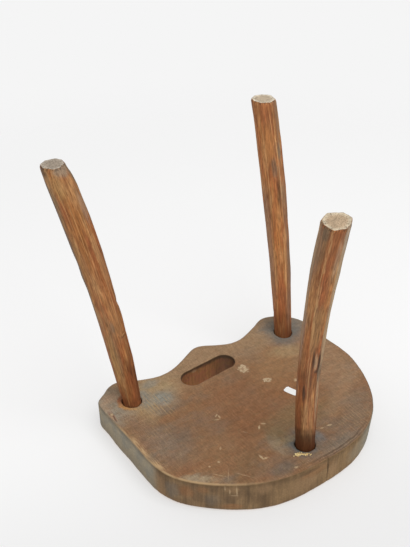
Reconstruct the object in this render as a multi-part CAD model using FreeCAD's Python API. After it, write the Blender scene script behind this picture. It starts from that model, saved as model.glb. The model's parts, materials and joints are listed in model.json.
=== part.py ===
import FreeCAD, Part
import math
import os

# A three-legged stool of the staked kind: one thick plank, three hewn legs whose round tenons go
# through drilled mortises, and a wedge in the end of each tenon. Millimetres, standing on its feet,
# +Z up. The front leg points to +Y, and the hand slot lies near the rear edge, at -Y.
# Until the last step, X = 0 is midway between the rear legs and Y = 0 is the line through them.

V = FreeCAD.Vector

# Seat plank
STOOL_HEIGHT = 420.0
SEAT_WIDTH = 400.0
SEAT_DEPTH = 320.0
SEAT_THICKNESS = 48.0
EDGE_ROUND = 2.5

# Outline of the plank, x in shares of its width and y in shares of its depth, from the rear legs' line.
# It runs from the left ear along the hollowed rear edge, forward up the right side, round the front
# and back down the left side.
OUTLINE_SHARES = (
    (-0.476, -0.095), (-0.425, -0.146), (-0.370, -0.164), (-0.310, -0.127), (-0.250, -0.093),
    (-0.188, -0.080), (-0.120, -0.096), (-0.045, -0.139), (0.018, -0.165), (0.075, -0.135),
    (0.130, -0.096), (0.186, -0.083), (0.245, -0.103), (0.315, -0.142), (0.372, -0.165),
    (0.420, -0.146), (0.478, -0.080),
    (0.503, -0.010), (0.501, 0.110), (0.503, 0.240), (0.500, 0.345),
    (0.482, 0.430), (0.436, 0.562), (0.370, 0.682), (0.258, 0.788), (0.150, 0.827),
    (0.000, 0.835), (-0.135, 0.823), (-0.240, 0.780), (-0.345, 0.700), (-0.430, 0.604), (-0.482, 0.500),
    (-0.497, 0.395), (-0.495, 0.260), (-0.494, 0.120), (-0.494, -0.010),
)

# Hand slot, centred from the rear legs' line
SLOT_LENGTH = 100.0
SLOT_WIDTH = 34.0
SLOT_SIDEWAYS = -10.5
SLOT_FORWARD = 6.5
SLOT_TURN_DEG = -3.0
SLOT_ROUND = 2.0

# Where the legs enter the underside, in from the plank's sides and from its front edge
REAR_LEG_INSET = 48.75
FRONT_LEG_INSET = 39.7
FRONT_LEG_SIDEWAYS = 1.5

# How far each foot lands from its own mortise
LEFT_FOOT_OUT = 43.0
LEFT_FOOT_BACK = 104.0
RIGHT_FOOT_OUT = 37.0
RIGHT_FOOT_BACK = 118.5
FRONT_FOOT_SIDEWAYS = 10.5
FRONT_FOOT_FORWARD = 13.5

# How far each leg's middle bows away from a straight line
LEFT_BOW_SIDEWAYS = 7.8
LEFT_BOW_FORWARD = 3.2
RIGHT_BOW_SIDEWAYS = 4.0
RIGHT_BOW_FORWARD = 3.0
FRONT_BOW_SIDEWAYS = -6.8
FRONT_BOW_FORWARD = -6.3

# Round joints
MORTISE_BORE = 31.0
TENON_CLEARANCE = 0.15
NECK_GAP = 0.9
NECK_DEPTH = 6.0
TENON_BORE = MORTISE_BORE - 2 * TENON_CLEARANCE
NECK_GIRTH = MORTISE_BORE - 2 * NECK_GAP

# Hewn legs: how thick they swell below the neck, and how their corners stand
LEG_GIRTH = 43.5
FOOT_BEVEL = 3.0
FOOT_FACE_SHARE = 0.93
STATION_SHARES = (0.0, 0.08, 0.2, 0.35, 0.5, 0.65, 0.8, 0.92, 1.0)
LEFT_FULLNESS_SHARES = (0.66, 0.93, 1.00, 0.94, 0.64, 0.55, 0.47, 0.22, 0.0)
RIGHT_FULLNESS_SHARES = (0.75, 0.77, 0.79, 0.78, 0.64, 0.42, 0.24, 0.07, 0.0)
FRONT_FULLNESS_SHARES = (0.72, 0.68, 0.68, 0.42, 0.32, 0.27, 0.18, 0.10, 0.0)
LEFT_TURN_SHARES = (0.325, 0.214, 0.092, -0.033, -0.139, -0.285, -0.417, -0.530)
RIGHT_TURN_SHARES = (0.400, 0.258, 0.111, -0.047, -0.164, -0.290, -0.381, -0.475)
FRONT_TURN_SHARES = (0.400, 0.275, 0.150, 0.020, -0.090, -0.222, -0.350, -0.470)
LEFT_REACH_SHARES = (0.96, 0.98, 1.03, 1.00, 1.02, 0.92, 1.02, 1.00)
RIGHT_REACH_SHARES = (0.97, 1.00, 0.98, 0.97, 0.96, 1.02, 1.04, 0.98)
FRONT_REACH_SHARES = (1.28, 1.08, 0.92, 1.08, 1.24, 1.20, 1.06, 1.06)

# Wedges, driven down into the tenons from the sitting face, across the plank's grain
WEDGE_DEPTH = 34.0
WEDGE_HEAD = 5.0
WEDGE_TIP = 1.0

# Paper label on the underside
LABEL_LENGTH = 22.0
LABEL_WIDTH = 12.0
LABEL_THICKNESS = 0.3
LABEL_CLIP = 2.2
LABEL_SIDEWAYS = 62.0
LABEL_FORWARD = 126.5
LABEL_TURN_DEG = 70.0

OVERRUN = 10.0
TOUCH_TOLERANCE = 0.1

UNDERSIDE = STOOL_HEIGHT - SEAT_THICKNESS
REAR_LEG_SPREAD = SEAT_WIDTH - 2 * REAR_LEG_INSET
FRONT_LEG_REACH = SEAT_DEPTH * max(forward for sideways, forward in OUTLINE_SHARES) - FRONT_LEG_INSET
LEGS = {
    "rear_left": {
        "base": (-REAR_LEG_SPREAD / 2, 0),
        "splay": (-LEFT_FOOT_OUT, -LEFT_FOOT_BACK),
        "bow": (LEFT_BOW_SIDEWAYS, LEFT_BOW_FORWARD),
        "fullness": LEFT_FULLNESS_SHARES,
        "turns": LEFT_TURN_SHARES,
        "reach": LEFT_REACH_SHARES,
    },
    "rear_right": {
        "base": (REAR_LEG_SPREAD / 2, 0),
        "splay": (RIGHT_FOOT_OUT, -RIGHT_FOOT_BACK),
        "bow": (RIGHT_BOW_SIDEWAYS, RIGHT_BOW_FORWARD),
        "fullness": RIGHT_FULLNESS_SHARES,
        "turns": RIGHT_TURN_SHARES,
        "reach": RIGHT_REACH_SHARES,
    },
    "front": {
        "base": (FRONT_LEG_SIDEWAYS, FRONT_LEG_REACH),
        "splay": (FRONT_FOOT_SIDEWAYS, FRONT_FOOT_FORWARD),
        "bow": (FRONT_BOW_SIDEWAYS, FRONT_BOW_FORWARD),
        "fullness": FRONT_FULLNESS_SHARES,
        "turns": FRONT_TURN_SHARES,
        "reach": FRONT_REACH_SHARES,
    },
}


def seat_point(share):
    """A point of the plank's outline on the underside, from its shares."""
    return V(share[0] * SEAT_WIDTH, share[1] * SEAT_DEPTH, UNDERSIDE)


def rim_edges(solid, wire):
    """The edges of a cut solid that lie on the wire, at either face of the plank."""
    found = []
    for edge in solid.Edges:
        middle = edge.valueAt((edge.FirstParameter + edge.LastParameter) / 2)
        level = V(middle.x, middle.y, UNDERSIDE)
        flat = edge.BoundBox.ZLength < TOUCH_TOLERANCE
        if flat and wire.distToShape(Part.Vertex(level))[0] < TOUCH_TOLERANCE:
            found.append(edge)
    return found


def outline_wire():
    """One closed smooth curve through the outline's points."""
    curve = Part.BSplineCurve()
    curve.interpolate(Points=[seat_point(share) for share in OUTLINE_SHARES], PeriodicFlag=True)
    return Part.Wire([curve.toShape()])


def slot_wire():
    """A stadium: two straight sides and two half circles."""
    end = SLOT_WIDTH / 2
    run = SLOT_LENGTH / 2 - end
    corners = [V(-run, -end, 0), V(run, -end, 0), V(run, end, 0), V(-run, end, 0)]
    wire = Part.Wire([
        Part.LineSegment(corners[0], corners[1]).toShape(),
        Part.Arc(corners[1], V(run + end, 0, 0), corners[2]).toShape(),
        Part.LineSegment(corners[2], corners[3]).toShape(),
        Part.Arc(corners[3], V(-run - end, 0, 0), corners[0]).toShape(),
    ])
    turn = FreeCAD.Rotation(V(0, 0, 1), SLOT_TURN_DEG)
    wire.Placement = FreeCAD.Placement(V(SLOT_SIDEWAYS, SLOT_FORWARD, UNDERSIDE), turn)
    return wire


def axis_point(leg, share):
    """A point of the leg's bowed axis, from its foot (0) to the underside (1)."""
    down = 1 - share
    bulge = 4 * share * down
    x = leg["base"][0] + down * leg["splay"][0] + bulge * leg["bow"][0]
    y = leg["base"][1] + down * leg["splay"][1] + bulge * leg["bow"][1]
    return V(x, y, share * UNDERSIDE)


def tenon_way(leg):
    """The direction in which the leg's axis enters the plank, upwards."""
    x = -leg["splay"][0] - 4 * leg["bow"][0]
    y = -leg["splay"][1] - 4 * leg["bow"][1]
    return V(x, y, UNDERSIDE).normalize()


def along_tenon(leg, height):
    """The point of the tenon's axis that lies this high above the underside."""
    way = tenon_way(leg)
    return axis_point(leg, 1) + way * (height / way.z)


def round_bar(leg, bore, low, high):
    """A bar along the tenon's axis, cut level at two heights above the underside."""
    start = along_tenon(leg, low - OVERRUN - bore)
    length = (high - low + 2 * (OVERRUN + bore)) / tenon_way(leg).z
    bar = Part.makeCylinder(bore / 2, length, start, tenon_way(leg))
    slab_side = SEAT_WIDTH + SEAT_DEPTH
    corner = V(-slab_side, -slab_side, UNDERSIDE + low)
    return bar.common(Part.makeBox(2 * slab_side, 2 * slab_side, high - low, corner))


def hewn_section(leg, centre, girth, share):
    """The level section of a leg: a polygon whose corners even out towards the neck."""
    corners = []
    for turn, reach in zip(leg["turns"], leg["reach"]):
        angle = 2 * math.pi * turn
        radius = girth / 2 * (1 + (reach - 1) * (1 - share))
        corners.append(centre + V(radius * math.cos(angle), radius * math.sin(angle), 0))
    return Part.makePolygon(corners + corners[:1])


def leg_girth(fullness):
    return NECK_GIRTH + (LEG_GIRTH - NECK_GIRTH) * fullness


def leg_solid(leg):
    first = leg_girth(leg["fullness"][0])
    sections = [hewn_section(leg, axis_point(leg, 0), first * FOOT_FACE_SHARE, 0)]
    bevel_share = FOOT_BEVEL / UNDERSIDE
    sections.append(hewn_section(leg, axis_point(leg, bevel_share), first, bevel_share))
    for share, fullness in zip(STATION_SHARES[1:], leg["fullness"][1:]):
        sections.append(hewn_section(leg, axis_point(leg, share), leg_girth(fullness), share))
    sections.append(hewn_section(leg, along_tenon(leg, NECK_DEPTH), NECK_GIRTH, 1))
    shaft = Part.makeLoft(sections, True, True)
    tenon = round_bar(leg, TENON_BORE, NECK_DEPTH, SEAT_THICKNESS)
    return shaft.fuse(tenon).removeSplitter().Solids[0]


def wedge_solid(leg):
    """A wedge as wide as the tenon, lying across the plank's grain and flush with the sitting face."""
    head, tip = WEDGE_HEAD / 2, WEDGE_TIP / 2
    edge = TENON_BORE / 2 + OVERRUN
    top = WEDGE_DEPTH + OVERRUN
    wide = tip + (head - tip) * top / WEDGE_DEPTH
    corners = [V(-tip, -edge, 0), V(tip, -edge, 0), V(wide, -edge, top), V(-wide, -edge, top)]
    block = Part.Face(Part.makePolygon(corners + corners[:1])).extrude(V(0, 2 * edge, 0))
    way = tenon_way(leg)
    sideways = V(0, 1, 0).cross(way).normalize()
    turn = FreeCAD.Rotation(sideways, way.cross(sideways), way, "ZXY")
    block.Placement = FreeCAD.Placement(along_tenon(leg, SEAT_THICKNESS - WEDGE_DEPTH), turn)
    bar = round_bar(leg, TENON_BORE, NECK_DEPTH, SEAT_THICKNESS)
    return block.common(bar).Solids[0]


def seat_solid():
    wire = outline_wire()
    slot = slot_wire()
    rise = V(0, 0, SEAT_THICKNESS)
    plank = Part.Face(wire).extrude(rise)
    plank = plank.cut(Part.Face(slot).extrude(rise))
    plank = plank.makeFillet(EDGE_ROUND, rim_edges(plank, wire))
    plank = plank.makeFillet(SLOT_ROUND, rim_edges(plank, slot))
    for leg in LEGS.values():
        plank = plank.cut(round_bar(leg, MORTISE_BORE, -OVERRUN, SEAT_THICKNESS + OVERRUN))
    return plank.Solids[0]


def label_solid():
    """A slip of paper with clipped corners, stuck to the underside."""
    x, y, clip = LABEL_LENGTH / 2, LABEL_WIDTH / 2, LABEL_CLIP
    corners = [
        V(-x + clip, -y, 0), V(x - clip, -y, 0), V(x, clip - y, 0), V(x, y - clip, 0),
        V(x - clip, y, 0), V(clip - x, y, 0), V(-x, y - clip, 0), V(-x, clip - y, 0),
    ]
    slip = Part.Face(Part.makePolygon(corners + corners[:1])).extrude(V(0, 0, -LABEL_THICKNESS))
    turn = FreeCAD.Rotation(V(0, 0, 1), LABEL_TURN_DEG)
    slip.Placement = FreeCAD.Placement(V(LABEL_SIDEWAYS, LABEL_FORWARD, UNDERSIDE), turn)
    return slip


def build():
    nodes = {"seat_board": seat_solid(), "paper_label": label_solid()}
    for name, leg in LEGS.items():
        wedge = wedge_solid(leg)
        nodes[name + "_wedge"] = wedge
        nodes[name + "_leg"] = leg_solid(leg).cut(wedge).Solids[0]
    return nodes


def centred(nodes):
    """Moves every piece so that the origin is the middle of the whole stool's base."""
    whole = Part.makeCompound(list(nodes.values())).optimalBoundingBox(False)
    shift = V(-whole.Center.x, -whole.Center.y, 0)
    for shape in nodes.values():
        shape.translate(shift)
    return shift


os.makedirs("parts", exist_ok=True)
pieces = build()
moved = centred(pieces)
print("origin moved by", round(moved.x, 3), round(moved.y, 3))
for node, shape in sorted(pieces.items()):
    box = shape.optimalBoundingBox(False)
    size = [round(v, 1) for v in (box.XLength, box.YLength, box.ZLength)]
    print(node, shape.ShapeType, shape.isValid(), round(shape.Volume / 1000, 1), "cm3", size)
    shape.exportStep("parts/" + node + ".step")
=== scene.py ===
# %% [markdown]
# # An old three-legged stool
# The stool is one thick plank with a scalloped rear edge and a hand slot. Three hewn legs stand in
# drilled holes, and a wedge in the end of each round tenon locks it there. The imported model, which is
# the frame, holds every real size. This script gives each piece its true surface: saw marks, hewn
# flats, worn rims, stains and a slip of paper. All lengths are in metres.

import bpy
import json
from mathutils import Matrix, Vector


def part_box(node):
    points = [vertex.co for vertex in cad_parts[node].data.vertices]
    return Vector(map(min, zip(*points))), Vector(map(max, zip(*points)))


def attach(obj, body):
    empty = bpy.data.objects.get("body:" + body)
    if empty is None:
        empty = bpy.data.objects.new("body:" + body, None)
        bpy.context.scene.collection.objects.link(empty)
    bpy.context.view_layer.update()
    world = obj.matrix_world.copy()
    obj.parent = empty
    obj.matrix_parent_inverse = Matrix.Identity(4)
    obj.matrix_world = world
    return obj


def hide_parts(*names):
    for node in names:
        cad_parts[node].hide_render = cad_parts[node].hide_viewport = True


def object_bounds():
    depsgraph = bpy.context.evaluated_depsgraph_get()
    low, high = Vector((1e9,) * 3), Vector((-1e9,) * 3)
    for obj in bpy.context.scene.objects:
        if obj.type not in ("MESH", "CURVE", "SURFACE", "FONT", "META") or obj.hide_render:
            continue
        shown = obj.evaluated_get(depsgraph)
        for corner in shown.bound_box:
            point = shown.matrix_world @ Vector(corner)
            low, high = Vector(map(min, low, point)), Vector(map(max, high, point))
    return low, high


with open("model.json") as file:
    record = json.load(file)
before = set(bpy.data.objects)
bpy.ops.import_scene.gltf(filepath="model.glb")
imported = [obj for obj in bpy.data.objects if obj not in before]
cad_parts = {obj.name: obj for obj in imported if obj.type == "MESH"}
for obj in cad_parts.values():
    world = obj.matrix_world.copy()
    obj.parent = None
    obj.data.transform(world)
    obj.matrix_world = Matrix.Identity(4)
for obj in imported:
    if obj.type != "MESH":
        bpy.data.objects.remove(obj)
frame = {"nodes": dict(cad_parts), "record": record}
cad_low, cad_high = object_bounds()
print("frame holds", sorted(frame["nodes"]))
print("CAD box in metres", [round(side, 4) for side in cad_high - cad_low])

# %% Modules, and one millimetre
import json
import math

import bmesh
import bpy
import numpy as np
from mathutils import Matrix, Vector, noise
from mathutils.bvhtree import BVHTree
from mathutils.kdtree import KDTree

MM = 0.001
scene = bpy.context.scene

# %% [markdown]
# ## The camera
# The photograph shows the stool turned over: it rests on its sitting face, with its feet in the air.
# The frame holds it standing. A CAD part is never moved, so the camera is turned over instead: it
# hangs below the floor, looks up at the underside, and its own top points down. Where it hangs was
# worked out from the plank's outline, which the photograph shows at two heights.

# %% Camera
FOCAL_LENGTH_PX = 900.0
PHOTO_HEIGHT_PX = 547.0
SENSOR_SIZE = 36.0
CAMERA_PLACE = Vector((-0.6766, 0.8540, -0.5409))
CAMERA_AIM = Vector((0.0143, -0.0981, 0.2183))
CAMERA_ROLL_DEG = 0.11


def turned_over_view(place, aim, roll_deg):
    """A matrix at place that looks at aim, with the frame's -Z upwards in the picture."""
    forward = (aim - place).normalized()
    right = forward.cross(Vector((0, 0, -1))).normalized()
    turn = Matrix((right, right.cross(forward), -forward)).transposed().to_4x4()
    return Matrix.Translation(place) @ turn @ Matrix.Rotation(math.radians(roll_deg), 4, "Z")


camera = bpy.data.objects.new("camera", bpy.data.cameras.new("camera"))
camera.data.sensor_width = SENSOR_SIZE
camera.data.lens = FOCAL_LENGTH_PX * SENSOR_SIZE / PHOTO_HEIGHT_PX
camera.matrix_world = turned_over_view(CAMERA_PLACE, CAMERA_AIM, CAMERA_ROLL_DEG)
scene.collection.objects.link(camera)
scene.camera = camera
print("lens", round(camera.data.lens, 2), "mm, camera", [round(v, 3) for v in CAMERA_PLACE])

# %% [markdown]
# ## A small kit for materials
# Wood is many thin layers of colour: broad tone, grain, tool marks, stains, wear. Each layer is a
# noise or a mask that mixes one more colour in. Building that from raw nodes is long, so this kit has
# one plain word for each step. It comes in three parts, and each stands on the one before: sums and
# places, then noise and masks, then colours. Colours are written as the eye reads them, from 0 to
# 255, and turned into the linear values that shaders work in.


# %% Colours
def seen(red, green, blue):
    """A colour as the eye reads it, 0 to 255, as linear values with an alpha of 1."""
    shares = [value / 255 for value in (red, green, blue)]
    linear = [s / 12.92 if s <= 0.04045 else ((s + 0.055) / 1.055) ** 2.4 for s in shares]
    return (*linear, 1.0)


class Sums:
    """A material being made. Each word adds a node and gives back the socket to carry on from."""

    def __init__(self, name, roughness=0.7, specular=0.3):
        self.material = bpy.data.materials.new(name)
        self.material.use_nodes = True
        self.tree = self.material.node_tree
        self.shader = self.tree.nodes["Principled BSDF"]
        self.shader.inputs["Roughness"].default_value = roughness
        self.shader.inputs["Specular IOR Level"].default_value = specular
        self.place = self.add("ShaderNodeTexCoord").outputs["Object"]
        self.noises = 0

    def add(self, kind, **settings):
        node = self.tree.nodes.new(kind)
        for name, value in settings.items():
            setattr(node, name, value)
        return node

    def plug(self, value, socket):
        if isinstance(value, bpy.types.NodeSocket):
            self.tree.links.new(value, socket)
        else:
            socket.default_value = value

    def stored(self, name, output="Fac"):
        """What the mesh keeps under this name at each of its points."""
        return self.add("ShaderNodeAttribute", attribute_name=name).outputs[output]

    def math(self, way, *values):
        node = self.add("ShaderNodeMath", operation=way)
        for value, socket in zip(values, node.inputs):
            self.plug(value, socket)
        return node.outputs[0]

    def times(self, value, factor):
        return self.math("MULTIPLY", value, factor)

    def scaled(self, value, factor, shift):
        """The value times a factor, plus a shift."""
        return self.math("MULTIPLY_ADD", value, factor, shift)

    def axis(self, place, letter):
        node = self.add("ShaderNodeSeparateXYZ")
        self.plug(place, node.inputs[0])
        return node.outputs[letter]

    def local(self, place, size, centre=(0, 0, 0), turn=(0, 0, 0)):
        """The place counted in sizes from a centre, along axes turned by some degrees."""
        node = self.add("ShaderNodeMapping", vector_type="TEXTURE")
        self.plug(place, node.inputs["Vector"])
        node.inputs["Location"].default_value = centre
        node.inputs["Rotation"].default_value = [math.radians(angle) for angle in turn]
        node.inputs["Scale"].default_value = size
        return node.outputs[0]


class Masks(Sums):
    """Words that say where: noise, bands and spots, as shares from 0 to 1."""

    def grain(self, place, size, detail=3.0, turn=(0, 0, 0)):
        """Noise, mostly 0.3 to 0.7, whose blots have this size along each axis."""
        self.noises += 1
        shift = (0.37 * self.noises, 0.59 * self.noises, 0.83 * self.noises)
        where = self.local(place, size, shift, turn)
        node = self.add("ShaderNodeTexNoise")
        self.plug(where, node.inputs["Vector"])
        node.inputs["Scale"].default_value = 1.0
        node.inputs["Detail"].default_value = detail
        return node.outputs["Fac"]

    def band(self, value, low, high):
        """0 at low, 1 at high and smooth between; low may be the larger one."""
        node = self.add("ShaderNodeMapRange", interpolation_type="SMOOTHSTEP")
        self.plug(value, node.inputs["Value"])
        node.inputs["From Min"].default_value = low
        node.inputs["From Max"].default_value = high
        return node.outputs[0]

    def spot(self, place, centre, size, turn=0.0, soft=0.5, ragged=0.0):
        """1 inside an ellipse with these half sizes and 0 outside it, with a soft or ragged edge."""
        where = self.local(place, [2 * half for half in size], centre, (0, 0, turn))
        node = self.add("ShaderNodeTexGradient", gradient_type="SPHERICAL")
        self.plug(where, node.inputs["Vector"])
        near = node.outputs["Fac"]
        if ragged:
            blots = self.grain(place, [half * 0.6 for half in size], 4.0)
            near = self.scaled(self.math("SUBTRACT", blots, 0.5), ragged / 2, near)
        return self.band(near, (1 - soft) / 2, (1 + soft) / 2)

    def frayed(self, name, size, detail, amount):
        """What the mesh keeps under this name, made uneven by a noise of this size."""
        waver = self.scaled(self.grain(self.place, size, detail), amount, -amount / 2)
        return self.math("ADD", self.stored(name), waver)


class Finish(Masks):
    """Words that lay colours over each other, and a last one that plugs them in."""

    def mix(self, share, under, over):
        node = self.add("ShaderNodeMix", data_type="RGBA")
        for value, socket in ((share, 0), (under, 6), (over, 7)):
            self.plug(value, node.inputs[socket])
        return node.outputs[2]

    def lay(self, mask, strength, under, over):
        """Lays the second colour over the first, as thick as the mask times the strength."""
        return self.mix(self.times(mask, strength), under, over)

    def shade(self, colour, value, amount):
        """Makes the colour lighter and darker by an amount, as the value goes over and under a half."""
        strength = self.scaled(value, 2 * amount, 1 - amount)
        node = self.add("ShaderNodeHueSaturation")
        self.plug(colour, node.inputs["Color"])
        self.plug(strength, node.inputs["Value"])
        return node.outputs[0]

    def vary(self, colour, noise_value, amount, spread=0.2):
        """Shades the colour with a noise that strays about this far from a half."""
        return self.shade(colour, self.band(noise_value, 0.5 - spread, 0.5 + spread), amount)

    def ramp(self, value, *stops):
        """A run of colours: each stop is a position and a colour."""
        node = self.add("ShaderNodeValToRGB")
        self.plug(value, node.inputs[0])
        elements = node.color_ramp.elements
        while len(elements) < len(stops):
            elements.new(0.5)
        for element, (position, colour) in zip(elements, stops):
            element.position = position
            element.color = colour
        return node.outputs[0]

    def wear(self, colour, roughness=None, heights=()):
        """Plugs in the colour, the roughness and a bump of (value, depth in metres) layers."""
        self.plug(colour, self.shader.inputs["Base Color"])
        if roughness is not None:
            self.plug(roughness, self.shader.inputs["Roughness"])
        total = 0.0
        for value, depth in heights:
            total = self.scaled(value, depth, total)
        if heights:
            bump = self.add("ShaderNodeBump")
            bump.inputs["Distance"].default_value = 1.0
            self.plug(total, bump.inputs["Height"])
            self.plug(bump.outputs[0], self.shader.inputs["Normal"])
        print("finish", self.material.name, "has", len(self.tree.nodes), "nodes")
        return self.material


# %% [markdown]
# ## Light
# The studio was white all round and the light came from everywhere, with a little more from above.
# A plain white world does most of that. It is dimmer for the light than for the eye: a surface in
# full light then shows about the colour that its material is written with. Two large soft lamps, one
# on each side of the plank, give the forms their gentle shading, whichever way up the stool is seen.

# %% World and lamps
BACKDROP = seen(245, 245, 245)
WORLD_LIGHT = 0.56
LAMP_WATTS = 42.0
LAMP_SIDE = 2.2
LAMP_PLACES = {"lamp_over_the_photo": (0.2, 0.9, -2.3), "lamp_over_the_seat": (-0.9, 0.8, 2.5)}

scene.view_settings.view_transform = "Standard"
world = bpy.data.worlds.new("white_studio")
scene.world = world
world.use_nodes = True


def paint_world(tree):
    """The bright backdrop for the camera, and dimmer light for surfaces."""
    rays = tree.nodes.new("ShaderNodeLightPath")
    blend = tree.nodes.new("ShaderNodeMix")
    blend.data_type = "RGBA"
    blend.inputs[6].default_value = (WORLD_LIGHT, WORLD_LIGHT, WORLD_LIGHT, 1.0)
    blend.inputs[7].default_value = BACKDROP
    tree.links.new(rays.outputs["Is Camera Ray"], blend.inputs[0])
    tree.links.new(blend.outputs[2], tree.nodes["Background"].inputs["Color"])


def soft_lamp(name, place, aim):
    """A large square lamp at this place, turned to its aim."""
    lamp = bpy.data.objects.new(name, bpy.data.lights.new(name, "AREA"))
    lamp.data.shape = "SQUARE"
    lamp.data.size = LAMP_SIDE
    lamp.data.energy = LAMP_WATTS
    lamp.location = place
    lamp.rotation_euler = (aim - place).to_track_quat("-Z", "Y").to_euler()
    scene.collection.objects.link(lamp)
    print(name, "of", LAMP_WATTS, "W at", [round(v, 2) for v in place])


paint_world(world.node_tree)
middle = (cad_low + cad_high) / 2
for name, place in LAMP_PLACES.items():
    soft_lamp(name, Vector(place), middle)

# %% [markdown]
# ## Two floors
# The stool needs a floor under its feet, and the photograph needs one under its sitting face. Each
# is a pale disc that only shows from the side of its own light: seen from behind it is clear, and it
# stops no light. It glows a little itself, which keeps the shadows as faint as in a studio that is
# white all round, and it glows less on the side of the front leg, where the photograph's floor is a
# little greyer. Its edge fades into the backdrop, so no horizon cuts through the picture. A floor lies
# half a millimetre off the stool, because two faces in one plane would flicker.

# %% Floors
FLOOR_RADIUS = 1.5
FLOOR_FADE_FROM = 0.55
FLOOR_GAP = 0.5 * MM
FLOOR_TONE = seen(252, 252, 252)
FLOOR_DIM_TONE = seen(226, 226, 226)
DIM_SLANT = -0.3
DIM_BAND = (-0.08, 0.36)
GLANCE_BAND = (0.86, 0.96)
GLOW_SHARE = 0.52


def floor_material(name):
    """White where the disc faces the camera, clear from behind, at its rim and at a flat glance."""
    paint = Finish(name, roughness=1.0, specular=0.0)
    lit = [value * (1 - GLOW_SHARE) for value in FLOOR_TONE[:3]]
    paint.shader.inputs["Base Color"].default_value = (*lit, 1.0)
    to_front = paint.scaled(paint.axis(paint.place, "X"), DIM_SLANT, paint.axis(paint.place, "Y"))
    glow = paint.mix(paint.band(to_front, *DIM_BAND), FLOOR_TONE, FLOOR_DIM_TONE)
    paint.plug(glow, paint.shader.inputs["Emission Color"])
    paint.shader.inputs["Emission Strength"].default_value = GLOW_SHARE
    behind = paint.add("ShaderNodeNewGeometry").outputs["Backfacing"]
    glance = paint.add("ShaderNodeLayerWeight").outputs["Facing"]
    length = paint.add("ShaderNodeVectorMath", operation="LENGTH")
    paint.plug(paint.place, length.inputs[0])
    rim = paint.band(length.outputs["Value"], FLOOR_RADIUS * FLOOR_FADE_FROM, FLOOR_RADIUS)
    clear = paint.math("MAXIMUM", behind, rim)
    clear = paint.math("MAXIMUM", clear, paint.band(glance, *GLANCE_BAND))
    blend = paint.add("ShaderNodeMixShader")
    paint.plug(clear, blend.inputs[0])
    paint.plug(paint.shader.outputs[0], blend.inputs[1])
    paint.plug(paint.add("ShaderNodeBsdfTransparent").outputs[0], blend.inputs[2])
    paint.plug(blend.outputs[0], paint.tree.nodes["Material Output"].inputs["Surface"])
    return paint.material


def one_sided_floor(name, height, facing_up):
    """A disc at this height, facing up or down, that stops no light."""
    work = bmesh.new()
    bmesh.ops.create_circle(work, cap_ends=True, segments=96, radius=FLOOR_RADIUS)
    for face in work.faces:
        if (face.normal.z > 0) != facing_up:
            face.normal_flip()
    disc = bpy.data.objects.new(name, bpy.data.meshes.new(name))
    work.to_mesh(disc.data)
    work.free()
    disc.location = (0, 0, height)
    disc.data.materials.append(floor_material(name + "_paint"))
    for ray in ("shadow", "diffuse", "glossy", "transmission"):
        setattr(disc, "visible_" + ray, False)
    scene.collection.objects.link(disc)
    print("floor", name, "at", round(height, 4))


one_sided_floor("floor_under_the_feet", cad_low.z - FLOOR_GAP, True)
one_sided_floor("floor_of_the_photo", cad_high.z + FLOOR_GAP, False)

# %% [markdown]
# ## Reading shapes from the frame
# The detailed surfaces have to keep the CAD shapes. So the script fires rays at the CAD skin and
# notes where they land: inwards for an outline or a leg, outwards for a hole. A search tree makes
# thousands of rays cheap.


# %% Rays and rings
def search_tree(*nodes):
    """One tree over the skins of these CAD nodes, to fire rays at."""
    points, faces = [], []
    for name in nodes:
        mesh = frame["nodes"][name].data
        first = len(points)
        points += [vertex.co.copy() for vertex in mesh.vertices]
        faces += [[first + index for index in face.vertices] for face in mesh.polygons]
    return BVHTree.FromPolygons(points, faces)


def ring_at(tree, centre, angles, reach):
    """Where level rays meet the skin: from reach metres away inwards, or outwards if reach is 0."""
    landed = []
    for angle in angles:
        way = Vector((math.cos(angle), math.sin(angle), 0))
        start = centre + way * reach
        landed.append(tree.ray_cast(start, -way if reach else way)[0])
    return np.array(landed)


def all_round(count):
    return np.arange(count) * 2 * math.pi / count


plank_tree = search_tree("seat_board")
plank_low, plank_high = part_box("seat_board")
plank_middle = (plank_low + plank_high) / 2
UNDERSIDE = plank_low.z
SITTING_FACE = plank_high.z


# %% [markdown]
# Smooth noise makes hand work look like hand work: rumple gives one value for each point. Wear sits
# in places, so the other helpers say how near a point is: fade goes from 0 to 1, bell from 1 down to
# 0, and away is the distance that they often start from.


# %% Noise for shapes
def rumple(points, size, seed=0.0):
    """Smooth noise, about -1 to 1, whose bumps have this size along each axis."""
    scaled = points / np.array(size) + seed * np.array((7.3, 3.1, 5.7))
    return np.array([noise.noise(Vector(point)) for point in scaled])


def fade(values, zero, one):
    """0 where the value is at zero, 1 where it is at one, and smooth between."""
    share = np.clip((values - zero) / (one - zero), 0, 1)
    return share * share * (3 - 2 * share)


def bell(distance, width):
    """1 where the distance is nothing, falling like a bell over about this width."""
    return np.exp(-((distance / width) ** 2))


def away(points, x, y):
    """How far each point is from a place, seen from above."""
    return np.hypot(points[:, 0] - x, points[:, 1] - y)


# %% Reading and changing meshes
WELD_GAP = 0.01 * MM


def keep(mesh, name, values):
    """Stores one number, or one place of three numbers, on each point of a mesh."""
    kind = "FLOAT" if np.ndim(values) == 1 else "FLOAT_VECTOR"
    layer = mesh.attributes.new(name, kind, "POINT")
    part = "value" if kind == "FLOAT" else "vector"
    layer.data.foreach_set(part, np.asarray(values, np.float32).ravel())


def points_of(mesh, what="co"):
    values = np.zeros(len(mesh.vertices) * 3, np.float32)
    mesh.vertices.foreach_get(what, values)
    return values.reshape(-1, 3).astype(float)


def move_points(mesh, places):
    mesh.vertices.foreach_set("co", np.asarray(places, np.float32).ravel())


def weld(mesh):
    """Joins the points that lie in one place, as the CAD skin has one for each face."""
    work = bmesh.new()
    work.from_mesh(mesh)
    bmesh.ops.remove_doubles(work, verts=work.verts, dist=WELD_GAP)
    work.to_mesh(mesh)
    work.free()


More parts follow.
